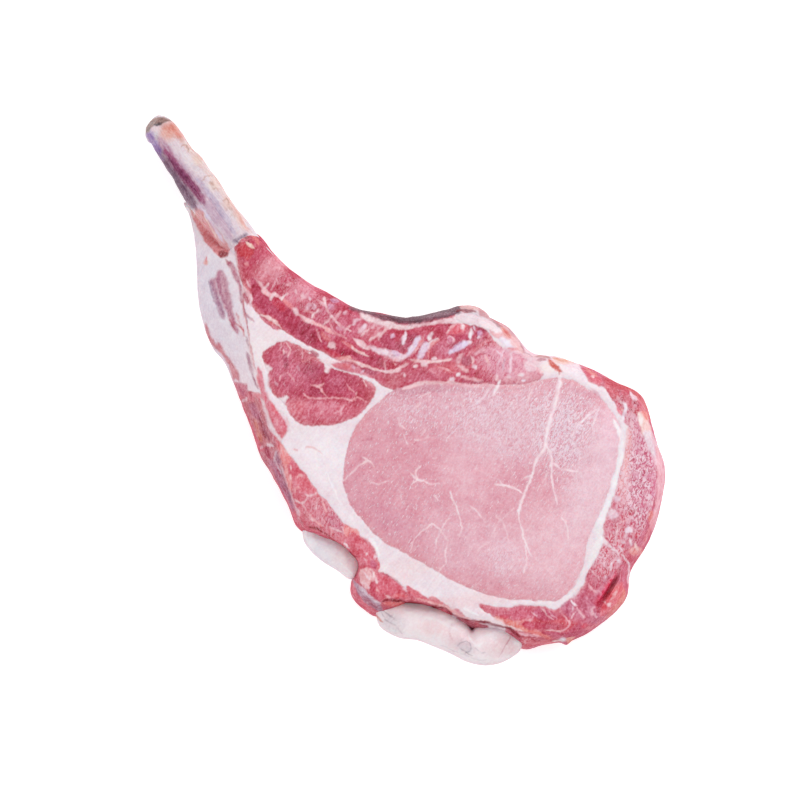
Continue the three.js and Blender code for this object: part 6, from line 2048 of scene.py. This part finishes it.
# Cap and flank: coarse bundles seen end on, with a strong labyrinth of painted wet glints.
cap_lean = flesh("coarse_cap_lean", mottle=0.22, bundles=(2.2, 0.9, 80, 0.22),
                 flecks_and_glints=(1.6, 0.5, 75, 0.64, 0.45, "#f4d2de"), film_sheen=(1.15, 1.7, 78, 0.9, "#f6d8e4"),
                 rough=(0.34, 0.48), clear=0.15, wet=0.8, bump_mm=0.2, grain_mm=0.7)
# Hard back fat: smooth and waxy, with hardly any grain.
soft_fat = flesh("waxy_back_fat", mottle=0.16, bundles=(5.0, 1.0, 50, 0.16),
                 flecks_and_glints=(1.2, 0.7, 60, 0.6, 0.3, "#f3dbe2"), film_sheen=(1.6, 1.5, 60, 0.5, "#f0cddb"),
                 rough=(0.4, 0.55), clear=0.2, wet=0.5, bump_mm=0.12, grain_mm=0.9)
# Bone in its dried skin, finely lined along its length.
rib_skin = flesh("rib_in_its_skin", mottle=0.14, bundles=(6.0, 0.5, -54, 0.22),
                 flecks_and_glints=(3.0, 0.5, -54, 0.6, 0.1, "#eadde2"), film_sheen=(1.6, 1.5, -54, 0.5, "#f0e6ec"),
                 rough=(0.4, 0.55), clear=0.15, wet=0.4, bump_mm=0.18, grain_mm=0.8)

FINISH_OF = {
    "loin_eye": (pale_loin, "pale_lean"),
    "side_muscle": (dark_lean, "dark_lean"),
    "rib_muscle": (dark_lean, "dark_lean"),
    "cap_muscle": (cap_lean, "cap_lean"),
    "flank_muscle": (cap_lean, "cap_lean"),
    "seam_fat": (soft_fat, "fat"),
    "fat_lobe_upper": (soft_fat, "fat"),
    "fat_lobe_lower": (soft_fat, "fat"),
    "rib_bone": (rib_skin, "bone"),
}
print("finishes:", sorted({material.name for material, _ in FINISH_OF.values()}))

# %% [markdown]
# ## The pieces on their body
#
# Every piece rides on the one body and takes its finish, and the solid of the same name is hidden.
# Its shading is smooth but for the sharp edges where a muscle was cut.

# %% Pieces on their body
SHARP_ANGLE = np.radians(38)
for name, piece in pieces.items():
    piece.data.materials.append(FINISH_OF[name][0])
    piece.data.polygons.foreach_set("use_smooth", np.ones(len(piece.data.polygons), bool))
    piece.data.set_sharp_from_angle(angle=SHARP_ANGLE)
    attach(piece, "root")
    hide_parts(name)
print("handed over:", ", ".join(piece.name for piece in pieces.values()))

# %% [markdown]
# ## Size
#
# The boxes of the solids and of the dressed chop are written side by side.

# %% Size and end
visual_box = [list(corner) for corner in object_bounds()]
for title, box in (("cad", CAD_BOX), ("visual", visual_box)):
    print(title, np.round(np.array(box) / MM, 1).tolist())
